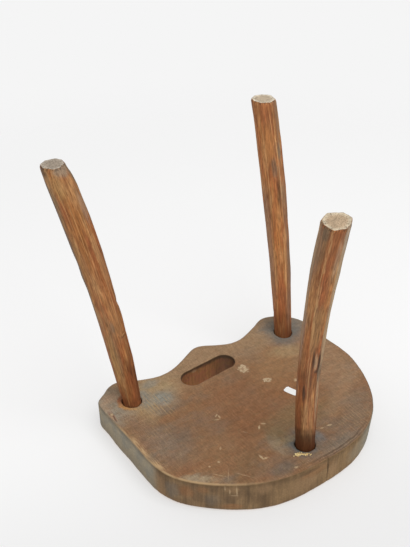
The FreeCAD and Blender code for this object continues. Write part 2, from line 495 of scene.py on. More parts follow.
def with_modifiers(piece):
    """The mesh that the piece has after its modifiers."""
    bpy.context.view_layer.update()
    return bpy.data.meshes.new_from_object(piece.evaluated_get(bpy.context.evaluated_depsgraph_get()))


def smooth_shaded(mesh):
    mesh.polygons.foreach_set("use_smooth", [True] * len(mesh.polygons))


def take_place(piece, node, finish):
    """Puts a finished piece into the scene in place of its CAD node."""
    piece.data.materials.clear()
    piece.data.materials.append(finish)
    if piece.name not in scene.collection.objects:
        scene.collection.objects.link(piece)
    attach(piece, "root")
    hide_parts(node)
    print(piece.name, "stands for", node, "with", len(piece.data.polygons), "faces")


# %% [markdown]
# ## The legs
# Each leg was split from a small log and hewn with a knife or a drawknife: long flats meet in ridges,
# and nothing is quite straight. A cylinder with a bump map would look turned on a lathe. So the leg is
# built as level rings that follow the CAD skin, and each ring gets hewing dips, grain grooves and a
# worn, ragged foot. A dark gap shows round each leg at the mouth of its hole, but no daylight: a few
# millimetres in, the wood has swollen and all but fills the hole.

# %% Leg rings from the frame
LEG_NAMES = ("rear_left", "rear_right", "front")
LEG_STEP = 1.6 * MM
LEG_COUNT_ROUND = 128
PROBE_REACH = 50 * MM
SKIN = 0.1 * MM
SWOLLEN_GAP = 0.4 * MM
SWOLLEN_FROM = UNDERSIDE + 3 * MM
SWOLLEN_FULL = UNDERSIDE + 7 * MM
SWOLLEN_TO = UNDERSIDE + 10 * MM


def swollen(centre, height, angles, radius):
    """The ring grown towards the wall of its hole, from a few millimetres above the mouth."""
    mouth = Vector((centre.x, centre.y, UNDERSIDE + MM))
    room = away(ring_at(plank_tree, mouth, angles, 0), *centre.xy) - SWOLLEN_GAP
    share = fade(np.array([height]), SWOLLEN_FROM, SWOLLEN_FULL)[0]
    return radius + (np.maximum(room, radius) - radius) * share


def leg_rings(name):
    """The heights, centres and radii of level rings up the CAD leg, with its wedge in place."""
    tree = search_tree(name + "_leg", name + "_wedge")
    low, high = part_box(name + "_leg")
    foot = points_of(frame["nodes"][name + "_leg"].data)
    centre = Vector(foot[foot[:, 2] < low.z + SKIN].mean(axis=0))
    heights = np.linspace(low.z, high.z, round((high.z - low.z) / LEG_STEP) + 1)
    angles = all_round(LEG_COUNT_ROUND)
    centres, radii = [], []
    for height in heights:
        centre.z = min(max(height, low.z + SKIN), high.z - SKIN)
        centre.xy = ring_at(tree, centre, angles[::8], PROBE_REACH)[:, :2].mean(axis=0)
        radius = away(ring_at(tree, centre, angles, PROBE_REACH), *centre.xy)
        if UNDERSIDE < height < SWOLLEN_TO:
            radius = swollen(centre, height, angles, radius)
        centres.append(centre.xy.copy())
        radii.append(radius)
    return heights, np.array(centres), np.array(radii)


rings = {name: leg_rings(name) for name in LEG_NAMES}
for name, (heights, centres, radii) in rings.items():
    print(name, len(heights), "rings, mean radius in mm", round(radii.mean() / MM, 2))

# %% [markdown]
# The relief has three scales. Hewing dips are as long as a stroke of the knife, grain grooves are
# thin and long, and the foot's rim is chipped by years of dragging. Then come the accidents that the
# photograph shows: nicks, a knot with its crack, a foot worn round on one side. Each is a soft dent at
# a height over the foot and so many degrees round from the camera's side, with its half sizes and its
# depth in millimetres; a bulge has a depth below nothing. Inside the plank the tenon stays smooth, to
# fit its hole.

# %% Relief of a hewn leg
HEWING_DEPTH = 0.45 * MM
GROOVE_DEPTH = 0.32 * MM
CHIP_DEPTH = 1.1 * MM
HEWN_SIZES = ((0.012, 0.012, 0.034), (0.0016, 0.0016, 0.045), (0.006, 0.006, 0.02))
FOOT_CHIPS = 5 * MM
HEWN_TO = UNDERSIDE - 4 * MM
DENTS_TO = UNDERSIDE + 3 * MM
LEG_DENTS = {
    "rear_left": [
        (366, 70, 10, 50, 1.3), (0, -64, 10, 42, 3.2), (0, 70, 5, 40, 0.8), (207, -80, 5, 14, 1.1),
        (228, -78, 12, 14, -0.6), (143, 82, 9, 16, 0.9), (166, 84, 9, 14, -0.6),
        (255, -42, 1.6, 34, 0.6), (330, 10, 5, 12, 0.5),
    ],
    "rear_right": [
        (0, 175, 6, 60, -1.5), (10, 78, 16, 26, -0.7), (272, -80, 28, 22, -0.9), (48, -74, 9, 16, 0.8),
        (62, -72, 8, 14, -0.5), (188, -76, 10, 16, 1.0), (115, -24, 40, 5, 0.7), (150, 62, 9, 14, 0.9),
        (340, 80, 4, 12, 0.9), (300, -10, 14, 8, 0.5),
    ],
    "front": [
        (0, 165, 9, 62, -2.6), (0, -140, 8, 30, -1.6), (9, -56, 13, 22, 1.6), (208, -25, 10, 8, -1.4),
        (212, -44, 16, 5, 2.2), (203, -11, 16, 4, 1.3), (236, -62, 12, 12, 1.2), (267, 10, 10, 5, 1.0),
        (338, 54, 5, 12, 1.5), (120, 74, 9, 14, 1.0), (96, -66, 12, 14, 0.9), (30, 46, 16, 10, 0.7),
    ],
}


def facing_camera(centres):
    """The angle of the side that faced the camera, seen from the leg's foot."""
    return math.atan2(CAMERA_PLACE.y - centres[0][1], CAMERA_PLACE.x - centres[0][0])


def dents_of(name, heights, centres, count):
    """How far named dents sink each point of the rings."""
    round_way = np.degrees(all_round(count) - facing_camera(centres))
    depth = np.zeros((len(heights), count))
    for up, around, half_up, half_round, deep in LEG_DENTS[name]:
        off = (round_way - around + 180) % 360 - 180
        depth += deep * MM * bell(heights / MM - up, half_up)[:, None] * bell(off, half_round)
    return depth


def hewn(name, heights, centres, radii, seed):
    """The radii with the marks of hewing, grain and wear."""
    angles = all_round(radii.shape[1])
    across = np.stack([radii * np.cos(angles), radii * np.sin(angles)], axis=2)
    tall = np.repeat(heights[:, None], len(angles), axis=1)
    points = np.dstack([across, tall]).reshape(-1, 3)
    noises = [rumple(points, size, seed + step) for step, size in enumerate(HEWN_SIZES)]
    dips, grooves, chips = (values.reshape(radii.shape) for values in noises)
    relief = HEWING_DEPTH * dips + GROOVE_DEPTH * np.minimum(grooves, 0)
    worn = radii + fade(tall, UNDERSIDE, HEWN_TO) * relief
    worn -= fade(tall, DENTS_TO, UNDERSIDE) * dents_of(name, heights, centres, radii.shape[1])
    return worn - CHIP_DEPTH * np.maximum(chips, 0) * fade(tall, FOOT_CHIPS, 0)


def blurred(table, reach):
    """Each value as the mean of its neighbours round the ring."""
    return sum(np.roll(table, step, axis=1) for step in range(-reach, reach + 1)) / (2 * reach + 1)


# %% Leg mesh
CAP_SHARES = (0.97, 0.88, 0.74, 0.58, 0.42, 0.26, 0.12)
END_RELIEF = 0.35 * MM
END_LUMPS = (0.004,) * 3


def leg_mesh(name, heights, centres, radii, seed):
    """Rings joined into a skin, closed by a sawn foot and by the tenon's flush end."""
    count = radii.shape[1]
    angles = all_round(count)
    round_way = np.stack([np.cos(angles), np.sin(angles)], axis=1)
    layers = [(share, 0, 1) for share in reversed(CAP_SHARES)]
    layers += [(1.0, level, 0) for level in range(len(heights))]
    layers += [(share, len(heights) - 1, -1) for share in CAP_SHARES]
    points = []
    for share, level, inward in layers:
        ring = centres[level] + round_way * (radii[level] * share)[:, None]
        flat = np.column_stack([ring, np.full(count, heights[level])])
        if inward:
            flat[:, 2] += inward * END_RELIEF * np.abs(rumple(flat, END_LUMPS, seed))
        points.append(flat)
    hubs = [[*centres[0], heights[0]], [*centres[-1], heights[-1]]]
    points = np.vstack([*points, hubs])
    faces = []
    for row in range(len(layers) - 1):
        for step in range(count):
            after = (step + 1) % count
            low, high = row * count, (row + 1) * count
            faces.append((low + step, low + after, high + after, high + step))
    last = (len(layers) - 1) * count
    for step in range(count):
        after = (step + 1) % count
        faces.append((after, step, len(points) - 2))
        faces.append((last + step, last + after, len(points) - 1))
    mesh = bpy.data.meshes.new(name)
    mesh.from_pydata(points.tolist(), [], faces)
    return mesh


# %% [markdown]
# The kerf in the tenon is cut with a Boolean: the CAD wedge, grown by two hundredths so that no two
# faces lie in one plane, is taken out of the leg. The wedge itself then fills the kerf.

# %% Kerf for the wedge
KERF_GROWTH = 1.02


def cut_kerf(leg, name):
    """Takes the grown wedge out of the leg's tenon."""
    mesh = frame["nodes"][name + "_wedge"].data.copy()
    places = points_of(mesh)
    middle_of_wedge = (places.min(axis=0) + places.max(axis=0)) / 2
    grown = middle_of_wedge + (places - middle_of_wedge) * KERF_GROWTH
    move_points(mesh, grown)
    weld(mesh)
    cutter = bpy.data.objects.new("kerf_cutter", mesh)
    scene.collection.objects.link(cutter)
    step = leg.modifiers.new("kerf", "BOOLEAN")
    step.operation = "DIFFERENCE"
    step.solver = "EXACT"
    step.object = cutter
    leg.data = with_modifiers(leg)
    leg.modifiers.clear()
    bpy.data.objects.remove(cutter)


# %% [markdown]
# The finish needs to know where on the leg it is. So each point keeps five things: its place on the
# leg as if the leg were straight, for grain that follows the bend; its place on the unrolled bark,
# counted round from the side that faced the camera, for marks; how near a ridge it lies; how far out
# from the middle it is; and whether it is on an end.

# %% What a leg's points know
ROUND_RADIUS = 20 * MM
RIDGE_HEIGHT = 0.7 * MM
RIDGE_REACH = 4
END_SHARE = 0.985


def centre_at(points, heights, centres):
    """The leg's centre at the height of each point: its x values and its y values."""
    return [np.interp(points[:, 2], heights, centres[:, side]) for side in (0, 1)]


def mark_leg(mesh, heights, centres, radii, plain):
    """Stores the five things, from the worn radii and from the plain ones of the CAD leg."""
    points = points_of(mesh)
    centre_x, centre_y = centre_at(points, heights, centres)
    out_x, out_y = points[:, 0] - centre_x, points[:, 1] - centre_y
    angle = np.arctan2(out_y, out_x)
    rolled = (angle - facing_camera(centres) + math.pi) % (2 * math.pi) - math.pi
    ridges = np.clip((plain - blurred(plain, RIDGE_REACH)) / RIDGE_HEIGHT, 0, 1)
    level = np.clip(np.searchsorted(heights, points[:, 2]), 0, len(heights) - 1)
    step = np.round(angle / (2 * math.pi) * radii.shape[1]).astype(int) % radii.shape[1]
    reach = np.hypot(out_x, out_y) / radii[level, step]
    end = (reach < END_SHARE) & ((points[:, 2] < MM) | (points[:, 2] > SITTING_FACE - MM))
    keep(mesh, "straight", np.column_stack([out_x, out_y, points[:, 2]]))
    keep(mesh, "bark", np.column_stack([rolled * ROUND_RADIUS, points[:, 2], np.zeros(len(points))]))
    keep(mesh, "ridge", np.where(end, 0, ridges[level, step]))
    keep(mesh, "reach", np.clip(reach, 0, 1))
    keep(mesh, "end", end.astype(float))


# %% [markdown]
# ## Finish of the legs
# The wood is red-brown inside and orange-tan where hands and boots have rubbed it, most of all along
# the ridges. Grey weathering lies in long streaks, the part near the plank is darkened by painted
# shade, and the sawn foot is pale. Marks that belong to one leg only, such as its knot or its dark
# streak, are a list: height over the foot in millimetres and degrees round from the camera's side, then
# half length, half width, colour and strength; the long dark strips down a leg's sides among them are
# painted shade. The three legs stand in different light in the photograph, which soft lamps can't
# repeat, so each one's wood is a little lighter or darker, as painted light and shade.

# %% Leg tones
LEG_DARK = seen(98, 54, 28)
LEG_BROWN = seen(130, 84, 52)
LEG_RED = seen(150, 90, 54)
LEG_ORANGE = seen(162, 109, 64)
LEG_TAN = seen(174, 128, 84)
LEG_GREY = seen(142, 116, 84)
LEG_OLIVE = seen(132, 108, 80)
# LEG_SIDE is a dark tint for painted shade in long strips down the legs' sides, and for a few dark
# patches.
LEG_SIDE = seen(110, 94, 76)
LEG_WORN = seen(150, 130, 108)
LEG_BARK = seen(174, 148, 116)
# This dark tone serves for soot and dirt marks, and for painted shade in the leg holes, next to the sawn
# foot's rim and at the chipped left tip of the plank.
LEG_SOOT_AND_SHADE = seen(66, 50, 38)
TENON_BROWN = seen(112, 76, 48)
LEG_RIDGE = seen(200, 156, 106)
LEG_YELLOW = seen(160, 124, 78)
LEG_COPPER = seen(150, 95, 50)
LEG_WINE = seen(104, 60, 36)
LEG_MAUVE = seen(158, 130, 106)
LEG_DUST = seen(146, 114, 88)
LEG_OCHRE = seen(150, 112, 72)
LEG_ASH = seen(178, 160, 142)
# LEG_SHADE is a darker tint for painted shade down the right side of the rear right leg, and for a few
# dark patches.
LEG_SHADE = seen(112, 86, 66)
WOOD_GLOSS = 0.16

# %% The wood of a leg
LEG_MARK_RAG = 1.1
# Painted shade lies in the next band, on the leg's side next to the rim of its sawn foot.
FOOT_RIM_SHADE_BAND = (4 * MM, 1 * MM)
TENON_END_BAND = (UNDERSIDE, SITTING_FACE - 2 * MM)
LEG_BUMPS = (0.30 * MM, 0.55 * MM, -0.12 * MM)
# Painted shade near the plank grows over these heights.
DIM_FROM = UNDERSIDE - 42 * MM
DIM_FULL = UNDERSIDE + 2 * MM


def brighter(colour, times):
    return (*(min(1.0, value * times) for value in colour[:3]), 1.0)


def leg_finish(name, lift, plank_shade_share, end_rim, end_middle, seed):
    """The wood of one leg. Lift brightens it all, as painted light; the share after it lays painted shade
    near the plank.
    """
    wood = Finish(name + "_hewn_wood", specular=WOOD_GLOSS)
    wood.noises = seed
    straight = wood.stored("straight", "Vector")
    bark = wood.stored("bark", "Vector")
    height = wood.axis(straight, "Z")
    fibre = wood.grain(straight, (0.0015, 0.0015, 0.016), 4.0)
    streak = wood.grain(straight, (0.0024, 0.0024, 0.060), 3.0)
    broad = wood.grain(straight, (0.015, 0.015, 0.080), 3.0)
    tone = wood.scaled(broad, 0.7, wood.times(streak, 0.3))
    tones = [brighter(colour, lift) for colour in (LEG_BROWN, LEG_RED, LEG_ORANGE, LEG_TAN)]
    colour = wood.ramp(tone, *zip((0.38, 0.47, 0.54, 0.62), tones))
    grey = wood.band(wood.grain(straight, (0.009, 0.009, 0.10), 3.0), 0.55, 0.70)
    colour = wood.lay(grey, 0.4, colour, LEG_GREY)
    mottle = wood.grain(straight, (0.005, 0.005, 0.009), 4.0)
    colour = wood.vary(colour, mottle, 0.12)
    for up, around, half_long, half_wide, tint, strength in LEG_MARKS[name]:
        centre = (math.radians(around) * ROUND_RADIUS, up * MM, 0)
        mark = wood.spot(bark, centre, (half_wide * MM, half_long * MM, 1.0), ragged=LEG_MARK_RAG)
        colour = wood.lay(mark, strength, colour, brighter(tint, lift))
    colour = wood.vary(colour, fibre, 0.24, 0.18)
    colour = wood.vary(colour, streak, 0.08)
    pores = wood.band(wood.grain(straight, (0.0013, 0.0013, 0.010), 3.0), 0.58, 0.68)
    colour = wood.lay(pores, 0.5, colour, LEG_DARK)
    rubbed = wood.band(wood.grain(straight, (0.003, 0.003, 0.022), 3.0), 0.42, 0.58)
    ridge = wood.times(wood.band(wood.stored("ridge"), 0.55, 0.95), rubbed)
    colour = wood.lay(ridge, 0.5, colour, LEG_RIDGE)
    # Painted shade: the leg darkens towards the plank.
    colour = wood.lay(wood.band(height, DIM_FROM, DIM_FULL), plank_shade_share, colour, LEG_DARK)
    # Painted shade: a dark band next to the rim of the sawn foot, broken up by the fibre.
    foot_rim_shade = wood.times(wood.band(height, *FOOT_RIM_SHADE_BAND), wood.band(fibre, 0.60, 0.45))
    colour = wood.lay(foot_rim_shade, 0.5, colour, LEG_SOOT_AND_SHADE)
    foot = foot_tone(wood, straight, end_rim, end_middle)
    tenon = wood.vary(TENON_BROWN, fibre, 0.25)
    at_seat = wood.band(height, *TENON_END_BAND)
    colour = wood.mix(wood.stored("end"), colour, wood.mix(at_seat, foot, tenon))
    roughness = wood.scaled(fibre, 0.4, 0.42)
    return wood.wear(colour, roughness, list(zip((fibre, streak, pores), LEG_BUMPS)))


# %% The sawn foot
def foot_tone(wood, straight, rim, middle):
    """Colour of the sawn end: pale at its rim, browner in the middle, speckled with dirt."""
    speckle = wood.grain(straight, (0.0018, 0.0018, 0.5), 4.0)
    rings = wood.grain(straight, (0.006, 0.003, 0.5), 2.0)
    cloud = wood.grain(straight, (0.012, 0.009, 0.5), 3.0)
    spoke = wood.grain(wood.stored("bark", "Vector"), (0.0024, 1.0, 1.0), 2.0)
    from_middle = wood.scaled(wood.math("ADD", speckle, rings), 0.35, wood.stored("reach"))
    colour = wood.mix(wood.band(from_middle, 0.95, 1.25), middle, rim)
    colour = wood.vary(colour, speckle, 0.16)
    colour = wood.vary(colour, cloud, 0.10, 0.15)
    colour = wood.vary(colour, spoke, 0.07, 0.15)
    dirt = wood.times(wood.band(speckle, 0.44, 0.34), 0.38)
    outer = wood.band(wood.stored("reach"), 0.60, 0.85)
    checks = wood.times(wood.times(wood.band(spoke, 0.60, 0.66), outer), 0.6)
    return wood.mix(wood.math("MAXIMUM", dirt, checks), colour, LEG_SOOT_AND_SHADE)


# %% Marks of each leg
# Long LEG_SIDE and LEG_SHADE strips, about 40 to 90 degrees round from the camera's side, are painted
# shade along a leg's sides.
LEG_MARKS = {
    "rear_left": [
        (115, 76, 120, 9, LEG_SIDE, 0.85), (40, -88, 50, 5, LEG_SIDE, 0.7),
        (15, 50, 60, 5, LEG_GREY, 0.65), (140, 44, 60, 5, LEG_OCHRE, 0.6),
        (30, 14, 19, 8, LEG_YELLOW, 0.65), (66, -8, 30, 8, LEG_COPPER, 0.75),
        (143, 22, 24, 5, LEG_BROWN, 0.5), (154, -54, 26, 6, LEG_TAN, 0.6),
        (118, 2, 40, 6, LEG_COPPER, 0.75), (150, -20, 50, 6, LEG_RED, 0.6),
        (162, -10, 18, 3, LEG_BROWN, 0.5), (34, -48, 22, 7, LEG_TAN, 0.9),
        (60, -62, 22, 5, LEG_MAUVE, 0.6), (118, -46, 24, 5, LEG_TAN, 0.85),
        (228, -24, 36, 9, LEG_TAN, 0.6), (300, 30, 48, 9, LEG_YELLOW, 0.65),
        (318, -28, 24, 6, LEG_WINE, 0.75), (296, -58, 50, 7, LEG_BROWN, 0.55),
        (228, 46, 18, 4, LEG_OLIVE, 0.6), (235, 15, 40, 4, LEG_TAN, 0.3),
        (184, 22, 16, 4, LEG_TAN, 0.4), (240, 30, 36, 7, LEG_TAN, 0.3), (345, -20, 28, 8, LEG_RED, 0.5),
        (346, 10, 16, 9, LEG_ORANGE, 0.7), (344, 18, 28, 2.2, LEG_TAN, 0.7),
        (345, -72, 30, 5, LEG_WINE, 0.75), (272, 10, 40, 6, LEG_GREY, 0.3),
        (20, 0, 8, 40, LEG_TAN, 0.35), (3, -40, 9, 17, LEG_WORN, 0.85), (12, -84, 12, 5, LEG_SIDE, 0.8),
        (6, 60, 7, 5, LEG_SOOT_AND_SHADE, 0.5), (205, 40, 8, 3, LEG_BROWN, 0.6), (238, -4, 9, 3, LEG_SIDE, 0.6),
        (205, -74, 40, 3, LEG_BROWN, 0.4), (95, -2, 60, 0.7, LEG_RIDGE, 0.35),
        (128, -36, 40, 0.7, LEG_RIDGE, 0.35), (130, -12, 30, 0.7, LEG_RIDGE, 0.35),
        (64, 20, 24, 0.7, LEG_RIDGE, 0.4), (200, -41, 46, 0.8, LEG_RIDGE, 0.55),
        (257.5, -50, 1.1, 8, LEG_SOOT_AND_SHADE, 0.5), (254.6, -52, 1.0, 8, LEG_RIDGE, 0.45),
    ],
    "rear_right": [
        (81, 26, 26, 7, LEG_TAN, 0.5), (100, -63, 22, 5, LEG_BROWN, 0.4),
        (19, -38, 10, 2.6, LEG_SOOT_AND_SHADE, 0.65), (62, 2, 27, 12, LEG_ORANGE, 0.7),
        (14, 56, 24, 9, LEG_BROWN, 0.65), (22, -66, 34, 9, LEG_SHADE, 0.8),
        (70, -50, 20, 7, LEG_SHADE, 0.5), (30, -45, 30, 4, LEG_COPPER, 0.6),
        (75, -54, 11, 5, LEG_SIDE, 0.75), (98, -18, 15, 4.5, LEG_SIDE, 0.6),
        (136, -26, 22, 3, LEG_SOOT_AND_SHADE, 0.6), (152, 36, 14, 3, LEG_BROWN, 0.6),
        (190, 0, 60, 6, LEG_ORANGE, 0.4), (206, -44, 13, 6, LEG_TAN, 0.75),
        (160, -58, 44, 8, LEG_SHADE, 0.6), (225, 52, 100, 7, LEG_DUST, 0.8),
        (150, 30, 24, 8, LEG_SHADE, 0.3), (290, 0, 50, 9, LEG_RED, 0.5),
        (350, 0, 26, 22, LEG_DARK, 0.45), (268, 22, 26, 5, LEG_TAN, 0.5),
        (206, 0, 16, 5, LEG_COPPER, 0.4), (280, -68, 60, 10, LEG_SHADE, 0.75),
        (325, -42, 34, 6, LEG_SHADE, 0.55), (256, -42, 34, 4, LEG_BROWN, 0.55),
        (238, -70, 40, 4, LEG_SIDE, 0.5), (26, -24, 20, 0.7, LEG_RIDGE, 0.4),
        (62, -37, 34, 0.7, LEG_RIDGE, 0.6), (8, -10, 10, 16, LEG_BROWN, 0.55),
        (62, 24, 20, 0.8, LEG_RIDGE, 0.5), (122, -40, 28, 1.0, LEG_BARK, 0.55),
        (115, 18, 60, 0.9, LEG_RIDGE, 0.55), (268, 26, 60, 0.8, LEG_RIDGE, 0.6),
        (268, -35, 46, 0.8, LEG_RIDGE, 0.6), (358, 14, 9, 1.4, LEG_TAN, 0.6),
        (356, -48, 10, 1.6, LEG_TAN, 0.6),
    ],
    "front": [
        (30, 34, 32, 7, LEG_OLIVE, 0.7), (9, 30, 9, 9, LEG_SIDE, 0.65), (30, -2, 38, 7, LEG_RED, 0.85),
        (22, -6, 20, 6, LEG_BROWN, 0.5), (52, 58, 42, 8, LEG_DUST, 0.65),
        (40, -29, 30, 3, LEG_MAUVE, 0.55), (60, -68, 66, 10, LEG_BARK, 0.95),
        (165, -68, 70, 8, LEG_BARK, 0.85), (262, -62, 60, 5, LEG_BARK, 0.6),
        (16, -62, 22, 7, LEG_ASH, 0.6), (80, 80, 110, 7, LEG_BARK, 0.65),
        (164, 66, 50, 7, LEG_MAUVE, 0.75), (100, 33, 34, 8, LEG_TAN, 0.55),
        (201, 35, 26, 6, LEG_TAN, 0.3), (169, -3, 26, 6, LEG_TAN, 0.4), (8, -84, 30, 4, LEG_SIDE, 0.7),
        (150, -10, 34, 8, LEG_OCHRE, 0.75), (86, -4, 26, 5, LEG_RED, 0.75),
        (274, -2, 16, 5, LEG_BROWN, 0.6), (296, -24, 18, 5, LEG_RED, 0.5),
        (262, 72, 20, 7, LEG_MAUVE, 0.5), (236, -10, 30, 7, LEG_BROWN, 0.5),
        (60, 26, 40, 4, LEG_BROWN, 0.4), (310, -6, 34, 9, LEG_BROWN, 0.3),
        (318, 46, 50, 7, LEG_DARK, 0.6), (318, 30, 22, 5, LEG_WINE, 0.7),
        (303, 2, 23, 4.4, LEG_TAN, 0.75), (318, -24, 18, 5, LEG_RED, 0.4),
        (300, -30, 40, 3, LEG_TAN, 0.5), (280, 10, 30, 2, LEG_DARK, 0.4),
        (300, 42, 45, 5, LEG_RED, 0.6), (250, -22, 16, 5, LEG_BROWN, 0.7),
        (230, -60, 14, 6, LEG_SIDE, 0.7), (100, 12, 66, 0.7, LEG_RIDGE, 0.55),
        (62, -38, 62, 0.7, LEG_RIDGE, 0.4), (140, 26, 30, 0.7, LEG_RIDGE, 0.3),
        (203, -12, 20, 1.4, LEG_SOOT_AND_SHADE, 0.65), (208, -25, 13, 2.8, LEG_BARK, 0.6),
        (208, -16, 14, 0.9, LEG_SOOT_AND_SHADE, 0.6), (211, -44, 18, 3.6, LEG_SOOT_AND_SHADE, 0.9),
        (224, -30, 3, 3, LEG_SOOT_AND_SHADE, 0.7), (262, 17, 15, 2.6, LEG_SOOT_AND_SHADE, 0.85),
        (236, -12, 26, 1.2, LEG_SOOT_AND_SHADE, 0.35), (255, -40, 18, 1.0, LEG_SOOT_AND_SHADE, 0.5),
        (240, -2, 50, 0.9, LEG_RIDGE, 0.5), (358, 0, 22, 40, LEG_SOOT_AND_SHADE, 0.7),
    ],
}
FOOT_TONES = {
    "rear_left": (seen(184, 172, 156), seen(160, 146, 130)),
    "rear_right": (seen(220, 208, 186), seen(188, 170, 146)),
    "front": (seen(202, 186, 160), seen(182, 158, 130)),
}
# For each leg: a lift that brightens its whole wood, as painted light, and the strength of the painted
# shade near the plank.
LEG_LIGHT = {"rear_left": (1.08, 0.22), "rear_right": (1.42, 0.66), "front": (1.08, 0.76)}
SHARP_FROM = math.radians(50)

# %% Make the legs
for seed, name in enumerate(LEG_NAMES):
    heights, centres, radii = rings[name]
    plain = blurred(radii, 1)
    worn = hewn(name, heights, centres, plain, seed * 10.0)
    leg = bpy.data.objects.new(name + "_leg_hewn", leg_mesh(name, heights, centres, worn, seed))
    scene.collection.objects.link(leg)
    cut_kerf(leg, name)
    mark_leg(leg.data, heights, centres, worn, plain)
    smooth_shaded(leg.data)
    leg.data.set_sharp_from_angle(angle=SHARP_FROM)
    finish = leg_finish(name, *LEG_LIGHT[name], *FOOT_TONES[name], seed * 11)
    take_place(leg, name + "_leg", finish)

# %% [markdown]
# ## The wedges
# Only the head of each wedge shows, flush with the sitting face. It was driven in with a hammer, so
# its end is a little crushed. A voxel remesh turns the plain CAD wedge into an even skin of small
# faces, and noise then dents it.

# %% Voxel skins
def voxel_skin(node, voxel):
    """The CAD node's shape as one even skin of small square faces."""
    mesh = frame["nodes"][node].data.copy()
    weld(mesh)
    block = bpy.data.objects.new(node + "_block", mesh)
    scene.collection.objects.link(block)
    step = block.modifiers.new("even_skin", "REMESH")
    step.mode = "VOXEL"
    step.voxel_size = voxel
    step.use_smooth_shade = True
    skin = with_modifiers(block)
    bpy.data.objects.remove(block)
    return skin


# %% Wedges
WEDGE_VOXEL = 0.6 * MM
CRUSH_DEPTH = 0.3 * MM
CRUSH_LUMPS = (0.003,) * 3
CRUSH_SHIFT = 0.4
CRUSHED_FROM = SITTING_FACE - 2 * MM
WEDGE_BUMP = 0.2 * MM
WEDGE_TONES = ((0.35, seen(70, 46, 30)), (0.5, seen(112, 78, 50)), (0.65, seen(146, 108, 72)))


def wedge_finish():
    """The end of a wedge: fine fibres, stained here and there."""
    wood = Finish("wedge_end_grain", roughness=0.6)
    fibres = wood.grain(wood.place, (0.0005, 0.003, 0.02), 3.0)
    stain = wood.grain(wood.place, (0.006, 0.006, 0.006), 2.0)
    colour = wood.shade(wood.ramp(fibres, *WEDGE_TONES), stain, 0.3)
    return wood.wear(colour, None, [(fibres, WEDGE_BUMP)])


wedge_wood = wedge_finish()
for seed, name in enumerate(LEG_NAMES):
    skin = voxel_skin(name + "_wedge", WEDGE_VOXEL)
    points = points_of(skin)
    crushed = fade(points[:, 2], CRUSHED_FROM, SITTING_FACE)
    points[:, 2] += CRUSH_DEPTH * (rumple(points, CRUSH_LUMPS, seed) - CRUSH_SHIFT) * crushed
    move_points(skin, points)
    wedge = bpy.data.objects.new(name + "_wedge_driven", skin)
    take_place(wedge, name + "_wedge", wedge_wood)

# %% [markdown]
# ## The plank
# The plank is a solid with five kinds of surface: the sawn underside, the sitting face polished by
# use, the sawn long-grain wall, the smooth end grain at its two sides, and the walls of the slot and
# the holes. One even skin carries them all. First each point learns where it is: which way it faces,
# how far it lies from the rim, from the slot and from the nearest leg.

# %% Rings of the plank
OUTLINE_RAYS = 2400
SLOT_RAYS = 400
OUTLINE_REACH = 0.4
PLANK_VOXEL = 1.82 * MM

outline = ring_at(plank_tree, plank_middle, all_round(OUTLINE_RAYS), OUTLINE_REACH)
opening = np.array(frame["record"]["physics"]["openings"][0]["box_m"])
slot_middle = Vector((*opening.mean(axis=0)[:2], plank_middle.z))
slot_ring = ring_at(plank_tree, slot_middle, all_round(SLOT_RAYS), 0)
print("rim is", round(np.linalg.norm(np.diff(outline, axis=0), axis=1).sum(), 3), "m round")


def nearest_on(points, ring):
    """How far each point is from a ring, seen from above, and which place of the ring is nearest."""
    tree = KDTree(len(ring))
    for index, place in enumerate(ring):
        tree.insert((place[0], place[1], 0), index)
    tree.balance()
    found = [tree.find((x, y, 0))[1:] for x, y in points[:, :2]]
    return np.array([gap for _, gap in found]), np.array([index for index, _ in found])


# %% [markdown]
# Now the relief. The rims are worn and chipped, most of all at the slot, where fingers lift the stool.
# The walls wave where the saw wandered, and the underside has small dents. The wood round each hole
# has swollen a little, and the sitting face is worn hollow. At the front right the rim has split off in
# a long shallow step, which the photograph shows as a double line, and a drying crack runs down the
# wall there. Every ripple is a depth, the size of its bumps along each axis and a seed.

# %% Relief of the plank
FLAT_FACING = (0.5, 0.9)
NOT_WALL_FACING = (0.3, 0.8)
FACE_RIPPLES = ((0.35 * MM, (0.06, 0.045, 0.06), 1), (0.10 * MM, (0.03, 0.004, 0.01), 2))
WALL_RIPPLES = ((0.21 * MM, (0.006, 0.006, 0.15), 4), (0.21 * MM, (0.025, 0.025, 0.05), 5))
WEAR_LUMPS = (0.016,) * 3
LOW_RIM_WEAR = 0.48 * MM
HIGH_RIM_WEAR = 0.6 * MM
RIM_WIDTH = 2.6 * MM
SLOT_WEAR = 0.9 * MM
SLOT_WEAR_WIDTH = 3.6 * MM
SEAT_HOLLOW = 0.7 * MM
HOLLOW_MIDDLE = (0, 0.05)
HOLLOW_HALVES = (0.17, 0.13)
DENT_COUNT = 46
DENT_RADII_MM = (2, 7)
DENT_DEPTHS_MM = (0.15, 0.5)
CHIP_HEIGHT = 3 * MM
RIM_CHIPS_MM = [
    (-187, -56, 5, 1.6), (-189, -36, 4, 1.2), (-193, 4, 3, 0.9), (-176, 104, 5, 0.9),
    (-140, 150, 4, 0.8), (-47, 191, 6, 1.0), (18, 200, 5, 1.1), (64, 194, 5, 1.0), (150, 150, 6, 1.0),
    (201, 30, 4, 0.8),
]
SPLIT_MM = [(-40, 193), (0, 201), (45, 196), (85, 186), (128, 166)]
SPLIT_BESIDE = (14 * MM, 7 * MM)
SPLIT_STEP = 0.9 * MM
SPLIT_STEP_INSET = (7 * MM, 5.2 * MM)
SPLIT_GROOVE = 0.5 * MM
SPLIT_GROOVE_INSET = 6.4 * MM
SPLIT_GROOVE_WIDTH = 1.3 * MM
CRACK_PLACE = (14 * MM, 201 * MM)
CRACK_REACH = 20 * MM
CRACK_WIDTH = 0.9 * MM
CRACK_DEPTH = 1.8 * MM
CRACK_WANDER = 0.8 * MM
